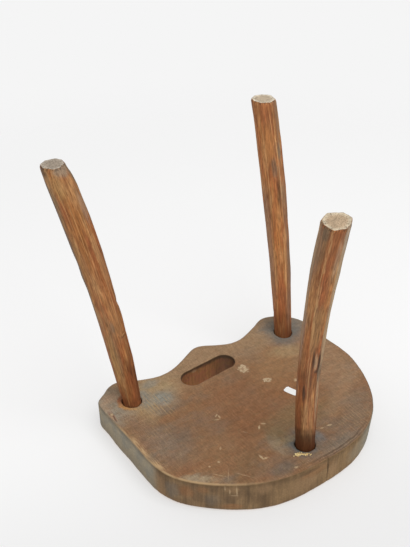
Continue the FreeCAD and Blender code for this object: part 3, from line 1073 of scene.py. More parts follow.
CRACK_LUMPS = (0.05, 0.05, 0.012)
HOLE_RADIUS = 15.5 * MM
MOUTH_SWELL = 0.5 * MM
MOUTH_SWELL_GAP = (HOLE_RADIUS + 3 * MM, HOLE_RADIUS + MM)
MOUTH_SWELL_RISE = (2.5 * MM, 0.5 * MM)


# %% Dents, chips, the split and the crack
def dents(points, facing):
    """Shallow round dents from knocks, scattered over the underside by a seeded draw."""
    draw = np.random.default_rng(7)
    depth = np.zeros(len(points))
    for _ in range(DENT_COUNT):
        x, y = draw.uniform(plank_low.x, plank_high.x), draw.uniform(plank_low.y, plank_high.y)
        radius, deep = draw.uniform(*DENT_RADII_MM) * MM, draw.uniform(*DENT_DEPTHS_MM) * MM
        depth += deep * bell(away(points, x, y), radius)
    return depth * fade(-facing, *FLAT_FACING)


def rim_chips(points, edge):
    """Bites out of the lower rim at named places."""
    depth = np.zeros(len(points))
    for x, y, radius, deep in RIM_CHIPS_MM:
        depth += deep * MM * bell(away(points, x * MM, y * MM), radius * MM)
    return depth * bell(edge, CHIP_HEIGHT)


def split_step(points, inset, facing):
    """A long shallow step along the front right rim."""
    line = dense_line(np.array(SPLIT_MM) * MM)
    near = fade(np.min([away(points, x, y) for x, y in line], axis=0), *SPLIT_BESIDE)
    step = SPLIT_STEP * fade(inset, *SPLIT_STEP_INSET)
    groove = SPLIT_GROOVE * bell(inset - SPLIT_GROOVE_INSET, SPLIT_GROOVE_WIDTH)
    return near * (step + groove) * fade(-facing, *NOT_WALL_FACING)


def dense_line(corners, pitch=4 * MM):
    """Points along a broken line, a few millimetres apart."""
    found = []
    for start, end in zip(corners[:-1], corners[1:]):
        count = max(2, round(float(np.linalg.norm(end - start)) / pitch))
        found += [start + (end - start) * share for share in np.linspace(0, 1, count)]
    return found


def wall_crack(points, wall):
    """A drying crack down the front wall, wavering a little."""
    middle = CRACK_PLACE[0] + CRACK_WANDER * rumple(points, CRACK_LUMPS, 8)
    across = bell(points[:, 0] - middle, CRACK_WIDTH)
    return CRACK_DEPTH * across * wall * (np.abs(points[:, 1] - CRACK_PLACE[1]) < CRACK_REACH)


# %% All of the relief
def plank_relief(points, normals, inset, slot_gap, leg_gap):
    """How far each point sinks along its normal."""
    facing = normals[:, 2]
    wall = 1 - fade(np.abs(facing), *NOT_WALL_FACING)
    up, down = points[:, 2] - UNDERSIDE, SITTING_FACE - points[:, 2]
    low_edge, high_edge = np.hypot(inset, up), np.hypot(inset, down)
    slot_edge = np.hypot(slot_gap, np.minimum(up, down))
    depth = np.zeros(len(points))
    for ripples, where in ((FACE_RIPPLES, 1 - wall), (WALL_RIPPLES, wall)):
        for deep, size, seed in ripples:
            depth += deep * rumple(points, size, seed) * where
    unevenness = 1 + 0.8 * rumple(points, WEAR_LUMPS, 3)
    depth += LOW_RIM_WEAR * unevenness * bell(low_edge, RIM_WIDTH)
    depth += HIGH_RIM_WEAR * unevenness * bell(high_edge, RIM_WIDTH)
    depth += SLOT_WEAR * unevenness * bell(slot_edge, SLOT_WEAR_WIDTH)
    mouth = fade(leg_gap, *MOUTH_SWELL_GAP)
    depth -= MOUTH_SWELL * mouth * fade(up, *MOUTH_SWELL_RISE)
    hollow = np.hypot(*((points[:, :2] - HOLLOW_MIDDLE) / HOLLOW_HALVES).T)
    depth += SEAT_HOLLOW * fade(hollow, 1, 0) * fade(facing, *FLAT_FACING)
    depth += dents(points, facing) + rim_chips(points, low_edge) + split_step(points, inset, facing)
    return depth + wall_crack(points, wall)


# %% [markdown]
# The saw did not stand upright, so the wall leans, and the two faces have slightly different edges.
# Each shift has a place and a reach, and how far the edge moves out there at the underside and at the
# sitting face. The face behind the edge follows it, less and less further in.

# %% Edge shifts
EDGE_GROWTH = 0.5 * MM
EDGE_REACH = 24 * MM
EDGE_SHIFTS_MM = [
    (-194, -96, 12, 2.0, 1.6), (-178, -112, 13, -2.2, -1.0), (-196, -64, 26, 0.0, -2.8),
    (-182, 112, 45, 0.0, 1.0), (-95, 185, 70, 0.0, 4.0), (5, 205, 50, 0.2, 1.0),
    (118, 178, 55, 0.0, -3.3), (-106, -99, 25, 0.9, 0.9), (70, -94, 25, 1.0, 1.0),
    (128, -110, 24, -0.8, -0.8), (175, 118, 50, 0.7, 0.0),
]


def shifted(points, inset, nearest):
    """The points moved level, square to the outline, by what the shifts say."""
    along = np.roll(outline, -1, axis=0) - np.roll(outline, 1, axis=0)
    outward = np.column_stack([along[:, 1], -along[:, 0]])
    outward /= np.linalg.norm(outward, axis=1)[:, None]
    up = (points[:, 2] - UNDERSIDE) / (SITTING_FACE - UNDERSIDE)
    move = np.full(len(points), EDGE_GROWTH)
    for x, y, reach, at_underside, at_seat in EDGE_SHIFTS_MM:
        lean = (at_underside + (at_seat - at_underside) * up) * MM
        move += lean * bell(away(points, x * MM, y * MM), reach * MM)
    moved = points.copy()
    moved[:, :2] += outward[nearest] * (move * fade(inset, EDGE_REACH, 0))[:, None]
    return moved


# %% Make the plank's skin
plank_skin = voxel_skin("seat_board", PLANK_VOXEL)
points = points_of(plank_skin)
normals = points_of(plank_skin, "normal")
inset, nearest_rim = nearest_on(points, outline)
slot_gap, _ = nearest_on(points, slot_ring)
leg_gap = np.full(len(points), 1.0)
for heights, centres, radii in rings.values():
    leg_gap = np.minimum(leg_gap, away(points, *centre_at(points, heights, centres)))
sunk = plank_relief(points, normals, inset, slot_gap, leg_gap)
move_points(plank_skin, shifted(points, inset, nearest_rim) - normals * sunk[:, None])
print("plank skin", len(points), "points, sunk up to", round(sunk.max() / MM, 2), "mm")

# %% [markdown]
# The points also keep two things that the photograph shows and their place alone doesn't say. The rim
# at the left is rubbed down to light wood in a few places. And the wall is end grain where the saw cut
# across the plank: at the left end as far as its front corner, and all along the right.

# %% What the plank's points know
RUBS_MM = [(-194, 18, 14), (-194, 38, 16), (-192, 72, 13)]
LEFT_END_TO = (82 * MM, 60 * MM)
RIGHT_END_FROM = (70 * MM, 108 * MM)
END_FACING = (0.4, 0.7)
RIGHT_FRONT_FACING = (0.1, 0.35)


def rubbed_places(points):
    """1 at the middle of each rubbed place, falling like a bell round it."""
    rubs = [bell(away(points, x * MM, y * MM), reach * MM) for x, y, reach in RUBS_MM]
    return np.max(rubs, axis=0)


def end_grain(points, normals):
    """1 on the walls that were cut across the grain, 0 on the others."""
    sideways = np.abs(normals[:, 0])
    steep = fade(sideways, *END_FACING)
    left_end = fade(points[:, 1], *LEFT_END_TO) * steep
    right_front = fade(points[:, 0], *RIGHT_END_FROM) * fade(sideways, *RIGHT_FRONT_FACING)
    return np.where(points[:, 0] < 0, left_end, np.where(points[:, 1] > 0, right_front, steep))


known = {
    "facing": normals[:, 2], "low_edge": np.hypot(inset, points[:, 2] - UNDERSIDE),
    "rub": rubbed_places(points), "end_grain": end_grain(points, normals),
    "inset": inset, "slot_gap": slot_gap, "leg_gap": leg_gap,
}
for name, values in known.items():
    keep(plank_skin, name, values)
print("each point knows", ", ".join(known))

# %% [markdown]
# ## Finish of the plank
# The underside was never polished: it is a dull brown, redder in the middle and greyer at the rear
# and near the legs, where iron in the damp wood has turned it blue-grey inside a yellow halo. Stains
# and marks are again a list, from large to small, as each one covers those before it. Each has its
# middle and half sizes in millimetres, a turn in degrees, a colour, a strength and a ragged edge.

# %% Plank tones and marks
PLANK_BROWN = seen(138, 104, 74)
PLANK_RED = seen(136, 97, 68)
PLANK_DULL = seen(128, 107, 88)
PLANK_GREY = seen(156, 128, 98)
PLANK_PALE = seen(158, 129, 101)
PLANK_TAN = seen(152, 117, 82)
PLANK_GREEN = seen(126, 110, 78)
HALO_BLUE = seen(102, 108, 108)
HALO_GREY = seen(126, 117, 104)
PALE_BLUE = seen(138, 136, 126)
EAR_GREY = seen(150, 138, 120)
EAR_PINK = seen(172, 144, 118)
PLANK_DUSK = seen(134, 115, 97)
HALO_YELLOW = seen(168, 144, 108)
RUBBED_TAN = seen(190, 158, 118)
SCUFF_GREY = seen(168, 150, 122)
SAW_TAN = seen(190, 158, 112)
RUST_ORANGE = seen(190, 138, 78)
RUST_RED = seen(150, 88, 62)
RUST_BROWN = seen(146, 96, 56)
WALL_BROWN = seen(110, 86, 60)
WALL_YELLOW = seen(142, 114, 80)
WALL_DARK = seen(84, 66, 46)
WALL_SAND = seen(156, 124, 90)
END_GREY = seen(156, 143, 120)
END_COOL = seen(138, 131, 116)
STAIN_BLUE = seen(96, 94, 88)
RIM_DARK = seen(86, 78, 70)
SLOT_RED = seen(146, 94, 62)
SLOT_BROWN = seen(146, 100, 60)
SLOT_DARK = seen(66, 52, 38)
CHALK = seen(196, 170, 134)
UNDERSIDE_MARKS = [
    (20, 50, 130, 100, 0, PLANK_RED, 0.8, 0.6), (70, 50, 44, 34, 0, RUST_BROWN, 0.25, 0.9),
    (86, 0, 52, 44, 0, PLANK_TAN, 0.6, 0.7), (-28, 72, 30, 36, 0, LEG_BROWN, 0.25, 0.8),
    (-96, 152, 44, 22, -35, WALL_BROWN, 0.35, 0.8), (40, 110, 60, 30, 0, PLANK_GREEN, 0.45, 0.9),
    (-150, 60, 40, 40, 0, PLANK_DULL, 0.5, 0.9), (-136, 44, 30, 24, 0, STAIN_BLUE, 0.30, 1.0),
    (-30, 170, 60, 20, 0, PLANK_DULL, 0.5, 0.8), (-112, -62, 44, 34, 0, HALO_YELLOW, 0.75, 0.8),
    (-146, -30, 20, 26, 0, HALO_YELLOW, 0.45, 0.9), (-182, -78, 28, 50, 0, EAR_GREY, 1.0, 0.7),
    (-172, -90, 14, 12, 0, EAR_PINK, 0.8, 0.9), (-190, -76, 10, 14, 0, EAR_PINK, 0.6, 0.9),
    (-160, -104, 12, 7, 30, STAIN_BLUE, 0.15, 0.9), (-164, 30, 24, 50, 0, PLANK_DUSK, 0.55, 0.8),
    (-112, -40, 30, 26, 0, PALE_BLUE, 0.35, 0.9), (-106, -44, 15, 15, 30, PALE_BLUE, 0.85, 0.9),
    (-128, -66, 12, 12, 0, PALE_BLUE, 0.75, 0.9), (-104, -82, 16, 9, 0, PALE_BLUE, 0.6, 0.9),
    # The two thin dark marks at the left tip, near (-190, -50), are painted shadow in the chipped rim
    # there.
    (-190, -53, 3.5, 12, 4, RUST_RED, 0.5, 1.6), (-189, -52, 0.8, 8, 4, LEG_SOOT_AND_SHADE, 0.6, 1.2),
    (-191, -43, 0.8, 6, 0, LEG_SOOT_AND_SHADE, 0.6, 1.2), (-192, -50, 1.0, 7, 4, CHALK, 0.5, 1.2),
    (168, -84, 50, 34, -20, HALO_GREY, 0.8, 0.6), (150, -56, 30, 28, 0, HALO_BLUE, 0.65, 0.5),
    (182, -66, 16, 22, 0, HALO_BLUE, 0.4, 0.9), (128, -20, 34, 16, 20, HALO_YELLOW, 0.55, 0.8),
    (186, -14, 34, 30, 0, PLANK_PALE, 0.6, 0.8), (150, -88, 30, 12, 0, HALO_BLUE, 0.3, 0.8),
    (-132, -54, 8, 16, 0, PALE_BLUE, 0.7, 0.9), (110, -70, 22, 20, 0, PLANK_GREY, 0.6, 0.8),
    (5, 158, 26, 26, 0, HALO_BLUE, 0.75, 0.8), (-9, 156, 9, 17, 0, HALO_BLUE, 0.6, 0.9),
    (-16, 126, 18, 22, 0, PLANK_GREEN, 0.5, 0.9), (-28, 142, 12, 22, 0, END_GREY, 0.45, 0.9),
    (-6, 142, 26, 6, 10, HALO_YELLOW, 0.4, 1.0), (33, 160, 9, 17, 0, HALO_BLUE, 0.7, 0.8),
    (-52, 182, 24, 12, 0, STAIN_BLUE, 0.5, 0.8), (70, 176, 44, 16, -12, STAIN_BLUE, 0.35, 0.9),
    (110, 164, 22, 14, -30, RUST_ORANGE, 0.18, 0.9), (124, 150, 60, 22, -38, PLANK_DULL, 0.75, 0.8),
    (122, 112, 52, 15, -30, PLANK_PALE, 0.4, 0.9), (40, 138, 26, 20, 0, PLANK_DULL, 0.35, 0.9),
    (-146, 140, 24, 6, 38, SCUFF_GREY, 0.2, 1.1), (28, 140, 14, 14, 0, RUST_BROWN, 0.4, 0.9),
    (56, 112, 16, 12, 0, PLANK_RED, 0.4, 0.9), (44, 190, 42, 11, -5, HALO_GREY, 0.55, 0.9),
    (-161, 126, 24, 7, 40, SCUFF_GREY, 0.6, 1.1), (60, 170, 50, 16, -20, PLANK_DULL, 0.5, 0.8),
    (160, 50, 50, 56, 0, PLANK_PALE, 0.55, 0.8), (-110, 100, 30, 40, 0, PLANK_BROWN, 0.6, 0.8),
    (38, -26, 8, 10, 0, CHALK, 0.45, 1.3), (52, 18, 6, 5, 30, CHALK, 0.4, 1.6),
    (89, 45, 3.4, 3.4, 0, CHALK, 0.8, 1.0), (-63, 38, 1.3, 3.4, 60, CHALK, 0.8, 0.8),
    (-61, 43, 1.2, 3.6, 10, CHALK, 0.8, 0.8), (-67, 46, 4.6, 1.2, 20, CHALK, 0.7, 0.8),
    (-63, 146, 1.5, 6.0, 0, CHALK, 0.85, 0.8), (-59, 151, 3, 1.4, 0, CHALK, 0.85, 0.8),
    (48, 151, 3, 1.3, 10, CHALK, 0.65, 0.9), (61, 153, 4.2, 1.5, 20, CHALK, 0.9, 1.0),
    (-118, 118, 2, 2, 0, CHALK, 0.6, 0.8), (-134, 118, 1.6, 1.6, 0, CHALK, 0.6, 0.8),
    (-27, 96, 1.5, 4.2, 40, CHALK, 0.8, 0.9), (-17, 93, 1.6, 4.0, -50, CHALK, 0.7, 0.9),
    (-100, 98, 1.4, 3.4, 40, CHALK, 0.6, 0.8), (-189, -56, 1.8, 3.0, 0, CHALK, 0.85, 1.0),
    (-50, 92, 1.5, 4, -30, CHALK, 0.22, 0.8), (-132, 140, 0.8, 11, -38, CHALK, 0.4, 0.8),
    (-122, 146, 0.8, 12, 40, CHALK, 0.35, 0.8), (-104, 160, 0.8, 13, -34, CHALK, 0.35, 0.8),
    (-36, 190, 3, 1.6, 20, CHALK, 0.7, 1.0),
]


# %% [markdown]
# The sawn underside is built up from broad to fine: stained ground, the orange and red rust beside the
# rear left leg, faint growth figure along the grain, fine speckles, and the pale lines that a coarse
# saw left across the grain, which show in patches. Last come thin dark lines: the two edges of the
# split at the front right, and a line of painted shade along the rear and right rim.

# %% Underside
SAW_PITCH = 5.0 * MM
SAW_TURN_DEG = 2
SAW_SHOWS = 0.12
SAW_PATCHES = [
    (-126, -38, 26, 32, 1.0), (-154, 10, 30, 40, 0.3), (-50, 120, 60, 60, 0.2), (104, 160, 30, 26, 0.5),
]


def flat_spot(wood, x, y, half_x, half_y, turn=0, soft=0.5, ragged=0.5):
    """A spot on the plank's faces, with its place and half sizes in millimetres."""
    size = (half_x * MM, half_y * MM, 1.0)
    return wood.spot(wood.place, (x * MM, y * MM, 0), size, turn, soft, ragged)


def saw_lines(wood):
    """1 on the thin pale lines of the saw, 0 between them, and faint outside their patches."""
    place = wood.place
    wander = wood.times(wood.grain(place, (0.03, 0.09, 0.09), 2.0), 3.0)
    across = wood.axis(wood.local(place, (1, 1, 1), turn=(0, 0, SAW_TURN_DEG)), "X")
    turns = wood.scaled(across, 2 * math.pi / SAW_PITCH, wander)
    lines = wood.band(wood.math("SINE", turns), 0.3, 0.95)
    patches = SAW_SHOWS
    for *patch, strength in SAW_PATCHES:
        patch = flat_spot(wood, *patch, soft=0.7, ragged=0.8)
        patches = wood.math("MAXIMUM", wood.times(patch, strength), patches)
    broken = wood.band(wood.grain(place, (0.004, 0.016, 0.01), 3.0), 0.40, 0.56)
    return wood.times(wood.times(lines, patches), broken)


# %% Rust beside the rear left leg
RUST_RING = (25 * MM, 20 * MM)
RUST_RAG = 10 * MM
RUST_SPOTS_MM = [
    (-172, -58, 26, 30, -35, 0.6, 0.7, RUST_ORANGE, 0.8),
    (-166, -84, 13, 17, 0, 0.7, 0.5, RUST_RED, 0.8),
    (-136, -54, 18, 16, 0, 0.7, 0.5, EAR_GREY, 0.75),
]


def rust_beside_leg(wood, colour):
    """The ragged ring that hugs the leg: orange in front, red at the rear, grey at the right."""
    ring = wood.band(wood.frayed("leg_gap", (0.007, 0.007, 0.007), 4.0, RUST_RAG), *RUST_RING)
    for *spot, tint, strength in RUST_SPOTS_MM:
        colour = wood.lay(wood.times(ring, flat_spot(wood, *spot)), strength, colour, tint)
    return colour


# %% Dark lines at the rim
SPLIT_SPOT_MM = (46, 193, 66, 30, -8, 0.7, 0.5)
SPLIT_WAVER = 4 * MM
SPLIT_INNER = (6.8 * MM, 1.7 * MM, 0.6 * MM)
SPLIT_OUTER = (2.4 * MM, 1.5 * MM, 0.5 * MM)
FAR_SIDE = (-0.04, 0.03)
FAR_RIM = (2.8 * MM, 0.8 * MM)


def thin_line(wood, inset, middle, from_gap, to_gap):
    """1 where the inset is at the line's middle, 0 further off than from_gap."""
    return wood.band(wood.math("ABSOLUTE", wood.math("SUBTRACT", inset, middle)), from_gap, to_gap)


def split_line(wood, colour):
    """The two dark lines of the split along the front right rim."""
    inset = wood.frayed("inset", (0.016, 0.016, 0.016), 2.0, SPLIT_WAVER)
    near = flat_spot(wood, *SPLIT_SPOT_MM)
    inner = thin_line(wood, inset, *SPLIT_INNER)
    outer = thin_line(wood, inset, *SPLIT_OUTER)
    lines = wood.math("MAXIMUM", inner, wood.times(outer, 0.8))
    return wood.lay(wood.times(lines, near), 0.5, colour, LEG_SOOT_AND_SHADE)


def far_rim_shade(wood, colour):
    """A thin dark line of painted shade along the rear and right rim."""
    to_rear_right = wood.math("SUBTRACT", wood.axis(wood.place, "X"), wood.axis(wood.place, "Y"))
    side = wood.band(to_rear_right, *FAR_SIDE)
    rim = wood.times(wood.band(wood.stored("inset"), *FAR_RIM), side)
    return wood.lay(rim, 0.5, colour, RIM_DARK)


# %% Underside, all together
REAR_BAND = (0.00, -0.085)


def underside_tone(wood, fine_grain, lines):
    """Colour of the sawn underside, with its stains."""
    place = wood.place
    blots = wood.grain(place, (0.05, 0.03, 0.05), 4.0)
    colour = wood.ramp(blots, (0.36, PLANK_DULL), (0.5, PLANK_BROWN), (0.64, PLANK_RED))
    rear = wood.band(wood.axis(place, "Y"), *REAR_BAND)
    colour = wood.lay(rear, 0.85, colour, PLANK_GREY)
    for *where, tint, strength, ragged in UNDERSIDE_MARKS:
        colour = wood.lay(flat_spot(wood, *where, ragged=ragged), strength, colour, tint)
    colour = rust_beside_leg(wood, colour)
    for size, tint in (((0.009, 0.007, 0.01), RUST_BROWN), ((0.010, 0.009, 0.01), PLANK_GREEN)):
        blush = wood.band(wood.grain(place, size, 4.0), 0.50, 0.70)
        colour = wood.lay(blush, 0.18, colour, tint)
    mottle = wood.grain(place, (0.012, 0.010, 0.01), 4.0)
    colour = wood.vary(colour, mottle, 0.07)
    figure = wood.grain(place, (0.06, 0.006, 0.02), 3.0)
    colour = wood.vary(colour, figure, 0.05)
    colour = wood.vary(colour, fine_grain, 0.13, 0.22)
    brushed = wood.grain(place, (0.0012, 0.009, 0.01), 3.0, (0, 0, SAW_TURN_DEG))
    colour = wood.vary(colour, brushed, 0.14, 0.22)
    speckle = wood.grain(place, (0.0020, 0.0015, 0.002), 2.0)
    colour = wood.vary(colour, speckle, 0.14, 0.22)
    colour = wood.lay(lines, 0.6, colour, SAW_TAN)
    return far_rim_shade(wood, split_line(wood, colour))


# %% [markdown]
# The wall shows two kinds of wood. At the left and right the saw cut across the grain: end grain is
# smooth and grey. At the front and rear it cut along the grain: long grain is brown, streaked from top
# to bottom by the saw, with rust and scratches. Close to both faces it is darkened by painted shade,
# and the left end wall more so towards the sitting face. Its marks are a list too: the middle of each,
# its half width and half height in millimetres, a colour and a strength.

# %% Walls and rim
WALL_MARKS = [
    (-176, 120, 392, 9, 10, RUST_BROWN, 0.4), (-187, 102, 398, 9, 14, STAIN_BLUE, 0.45),
    (-160, 136, 384, 7, 6, RUST_BROWN, 0.3), (-128, 164, 412, 16, 5, RUST_BROWN, 0.4),
    (-110, 175, 392, 2.5, 13, WALL_DARK, 0.45), (-92, 185, 404, 3, 9, WALL_DARK, 0.25),
    (-84, 188, 390, 2, 14, WALL_DARK, 0.2), (-90, 186, 383, 10, 10, WALL_SAND, 0.45),
    (-194, 78, 402, 10, 20, WALL_SAND, 0.45), (-4, 202, 381, 14, 7, WALL_SAND, 0.4),
    (-128, 164, 380, 9, 5, WALL_SAND, 0.35), (-30, 200, 396, 26, 16, WALL_SAND, 0.5),
    (-10, 201, 384, 26, 8, RUST_BROWN, 0.3), (46, 200, 398, 20, 14, WALL_YELLOW, 0.6),
    (84, 194, 398, 30, 16, END_GREY, 0.5), (-60, 197, 396, 26, 16, WALL_YELLOW, 0.5),
    (-150, 146, 402, 10, 10, STAIN_BLUE, 0.3), (-20, 200, 380, 20, 3, WALL_DARK, 0.4),
    (-137, 157, 379, 0.8, 4, CHALK, 0.4), (-132, 161, 385, 0.8, 4, CHALK, 0.4),
    (-124, 167, 384, 0.8, 8, CHALK, 0.5), (-127, 164, 392, 5, 0.8, CHALK, 0.35),
    # The dark line at the crack is painted shade inside it, and the sand patch just right of it is a
    # painted highlight on its lip.
    (14, 201, 390, 1.6, 14, WALL_DARK, 0.8), (25, 201, 400, 9, 13, WALL_SAND, 0.65),
]
WALL_MARK_REACH = 12 * MM
PALER_TO_RIGHT = (-0.14, 0.09)
DARK_LEFT_END = (0.0, -0.10)
DARK_LEFT_RISE = (UNDERSIDE + 14 * MM, SITTING_FACE)
# Painted shade on the wall: a band under the underside's rim and a band at the sitting face, each from
# its unshaded height to its fully shaded height, with a strength.
WALL_SHADE_BANDS = (
    (UNDERSIDE + 12 * MM, UNDERSIDE + 3 * MM, 0.28),
    (SITTING_FACE - 6 * MM, SITTING_FACE, 0.45),
)


def wall_tone(wood):
    """Colour of the wall, with painted shade near both faces and at the left end, and its streaks."""
    place = wood.place
    streaks = wood.grain(place, (0.0024, 0.0024, 0.06), 4.0)
    wide = wood.grain(place, (0.008, 0.008, 0.09), 2.0)
    patches = wood.grain(place, (0.022, 0.022, 0.022), 4.0)
    to_right = wood.band(wood.axis(place, "X"), *PALER_TO_RIGHT)
    pale = wood.scaled(to_right, 0.70, wood.times(wood.band(patches, 0.40, 0.62), 0.50))
    long_grain = wood.mix(pale, WALL_BROWN, WALL_YELLOW)
    long_grain = wood.vary(long_grain, wide, 0.14)
    long_grain = wood.vary(long_grain, streaks, 0.12)
    for x, y, z, half_wide, half_tall, tint, strength in WALL_MARKS:
        size = (half_wide * MM, WALL_MARK_REACH, half_tall * MM)
        mark = wood.spot(place, (x * MM, y * MM, z * MM), size, ragged=1.0)
        long_grain = wood.lay(mark, strength, long_grain, tint)
    end = wood.stored("end_grain")
    end_tone = wood.mix(wood.band(patches, 0.36, 0.66), END_GREY, END_COOL)
    end_tone = wood.shade(end_tone, wood.grain(place, (0.010, 0.010, 0.004), 4.0), 0.16)
    colour = wood.mix(end, long_grain, end_tone)
    dots = wood.grain(place, (0.0022, 0.0022, 0.0022), 3.0)
    colour = wood.vary(colour, dots, 0.10)
    height = wood.axis(place, "Z")
    # Painted shade: the wall darkens in bands towards both faces.
    for unshaded_height, shaded_height, strength in WALL_SHADE_BANDS:
        colour = wood.lay(wood.band(height, unshaded_height, shaded_height), strength, colour, WALL_DARK)
    # Painted shade: the left end wall darkens towards the sitting face.
    left_end = wood.times(wood.band(height, *DARK_LEFT_RISE), end)
    left_end = wood.times(left_end, wood.band(wood.axis(place, "X"), *DARK_LEFT_END))
    return wood.lay(left_end, 0.35, colour, WALL_DARK), streaks


# %% [markdown]
# Where the lower rim is rubbed, light wood shows: in ragged, streaky patches on the face at the left,
# and as a thin thread along the very edge from there to the front. Both are worked out as a share from
# 0 to 1, and the light tone is mixed in by it later.

# %% Rubbed rim
RUB_RAG = 12 * MM
RUB_INSET = (10.5 * MM, 4.0 * MM)
THREAD_EDGE = (3.6 * MM, 1.0 * MM)
THREAD_FRONT_LEFT = (0.15, 0.18)
THREAD_LEFT = (-0.05, -0.17)


def rubbed_share(wood):
    """How far the lower rim is rubbed down to light wood, in patches and along a thread."""
    place = wood.place
    inset = wood.frayed("inset", (0.003, 0.008, 0.008), 4.0, RUB_RAG)
    on_face = wood.band(wood.stored("facing"), -0.5, -0.8)
    patches = wood.times(wood.band(inset, *RUB_INSET), wood.stored("rub"))
    patches = wood.times(patches, on_face)
    strokes = wood.band(wood.grain(place, (0.0016, 0.018, 0.02), 3.0), 0.40, 0.56)
    patches = wood.times(patches, wood.scaled(strokes, 0.8, 0.3))
    rare = wood.band(wood.grain(place, (0.02, 0.02, 0.02), 3.0), 0.40, 0.52)
    to_front_left = wood.math("SUBTRACT", wood.axis(place, "Y"), wood.axis(place, "X"))
    side = wood.band(to_front_left, *THREAD_FRONT_LEFT)
    side = wood.times(side, wood.band(wood.axis(place, "X"), *THREAD_LEFT))
    thread = wood.times(wood.band(wood.stored("low_edge"), *THREAD_EDGE), side)
    thread = wood.times(thread, wood.scaled(rare, 0.45, 0.5))
    return wood.math("MAXIMUM", patches, thread)


# %% [markdown]
# The slot was chiselled out, and fingers have rubbed its wall red-brown. It is patchy with cuts and
# dirt, and darker at its mouth at the underside. Its right end is darkened with painted shade, where
# little light gets. A pale fleck left of its middle is where the wood broke away.

# %% Wall of the slot
FLECK_MM = ((-24, -72, 379), (5, 6, 3))
SLOT_MOUTH_DARK = 5.5 * MM
MOUTH_WANDER = -8 * MM
# Painted shade at the slot's right end runs over this band of x.
RIGHT_END_SHADE_BAND = (slot_middle.x + 4 * MM, slot_middle.x + 50 * MM)


def slot_tone(wood):
    """Colour of the slot's wall: red-brown, with cuts, dirt and a fleck, darker at its mouth, and painted
    shade at its right end.
    """
    place = wood.place
    ribs = wood.grain(place, (0.0030, 0.0030, 0.020), 3.0)
    cuts = wood.grain(place, (0.010, 0.010, 0.006), 4.0)
    colour = wood.mix(wood.band(cuts, 0.40, 0.60), SLOT_RED, SLOT_BROWN)
    colour = wood.vary(colour, ribs, 0.13)
    dirt = wood.band(wood.grain(place, (0.007, 0.007, 0.009), 4.0), 0.54, 0.70)
    colour = wood.lay(dirt, 0.3, colour, SLOT_DARK)
    middle_of_fleck, half_sizes = ([side * MM for side in sides] for sides in FLECK_MM)
    fleck = wood.spot(place, middle_of_fleck, half_sizes, ragged=0.9)
    colour = wood.lay(fleck, 0.6, colour, PLANK_GREY)
    wander = wood.grain(place, (0.009, 0.009, 0.009), 3.0)
    depth = wood.scaled(wander, MOUTH_WANDER, wood.axis(place, "Z"))
    mouth = wood.band(depth, UNDERSIDE + SLOT_MOUTH_DARK, UNDERSIDE)
    colour = wood.lay(mouth, 0.85, colour, SLOT_DARK)
    # Painted shade: the slot's right end darkens, where little light gets.
    right_end_shade = wood.band(wood.axis(place, "X"), *RIGHT_END_SHADE_BAND)
    return wood.lay(right_end_shade, 0.6, colour, SLOT_DARK)


# %% [markdown]
# The sitting face, which the photograph hides, is darker, redder and more even, as clothes polish it.
# It is inferred from how such stools wear: lighter at the rim and scuffed across the grain.

# %% Sitting face
SEAT_TONES = ((0.36, seen(104, 70, 46)), (0.5, seen(128, 88, 58)), (0.66, seen(148, 106, 72)))
SCUFF_TURN_DEG = 25
SEAT_EDGE = (14 * MM, 2 * MM)
SLOT_GRIP = (30 * MM, 4 * MM)


def sitting_tone(wood, fine_grain):
    """Colour of the sitting face: red-brown, scuffed, pale at the rim and dark at the slot."""
    place = wood.place
    colour = wood.ramp(wood.grain(place, (0.08, 0.035, 0.05), 4.0), *SEAT_TONES)
    figure = wood.grain(place, (0.16, 0.006, 0.05), 4.0)
    colour = wood.vary(colour, figure, 0.16)
    colour = wood.vary(colour, fine_grain, 0.14)
    strokes = wood.grain(place, (0.002, 0.03, 0.02), 4.0, (0, 0, SCUFF_TURN_DEG))
    colour = wood.lay(wood.band(strokes, 0.62, 0.72), 0.35, colour, RUBBED_TAN)
    colour = wood.lay(wood.band(wood.stored("inset"), *SEAT_EDGE), 0.45, colour, RUBBED_TAN)
    return wood.lay(wood.band(wood.stored("slot_gap"), *SLOT_GRIP), 0.45, colour, SLOT_DARK)


# %% [markdown]
# Now the surfaces are joined into one finish. Each is mixed in by what the points know: which way they
# face, and how far they are from the rim, the slot and the legs.

# %% Finish of the whole plank
WALL_FACING = (0.78, 0.42)
SEAT_FACING = (0.35, 0.75)
SLOT_WALL_GAP = (6 * MM, 2 * MM)
HOLE_WALL_GAP = (HOLE_RADIUS + 0.8 * MM, HOLE_RADIUS - 0.3 * MM)
FLAT_BUMP = 0.3 * MM
WALL_BUMP = 0.7 * MM


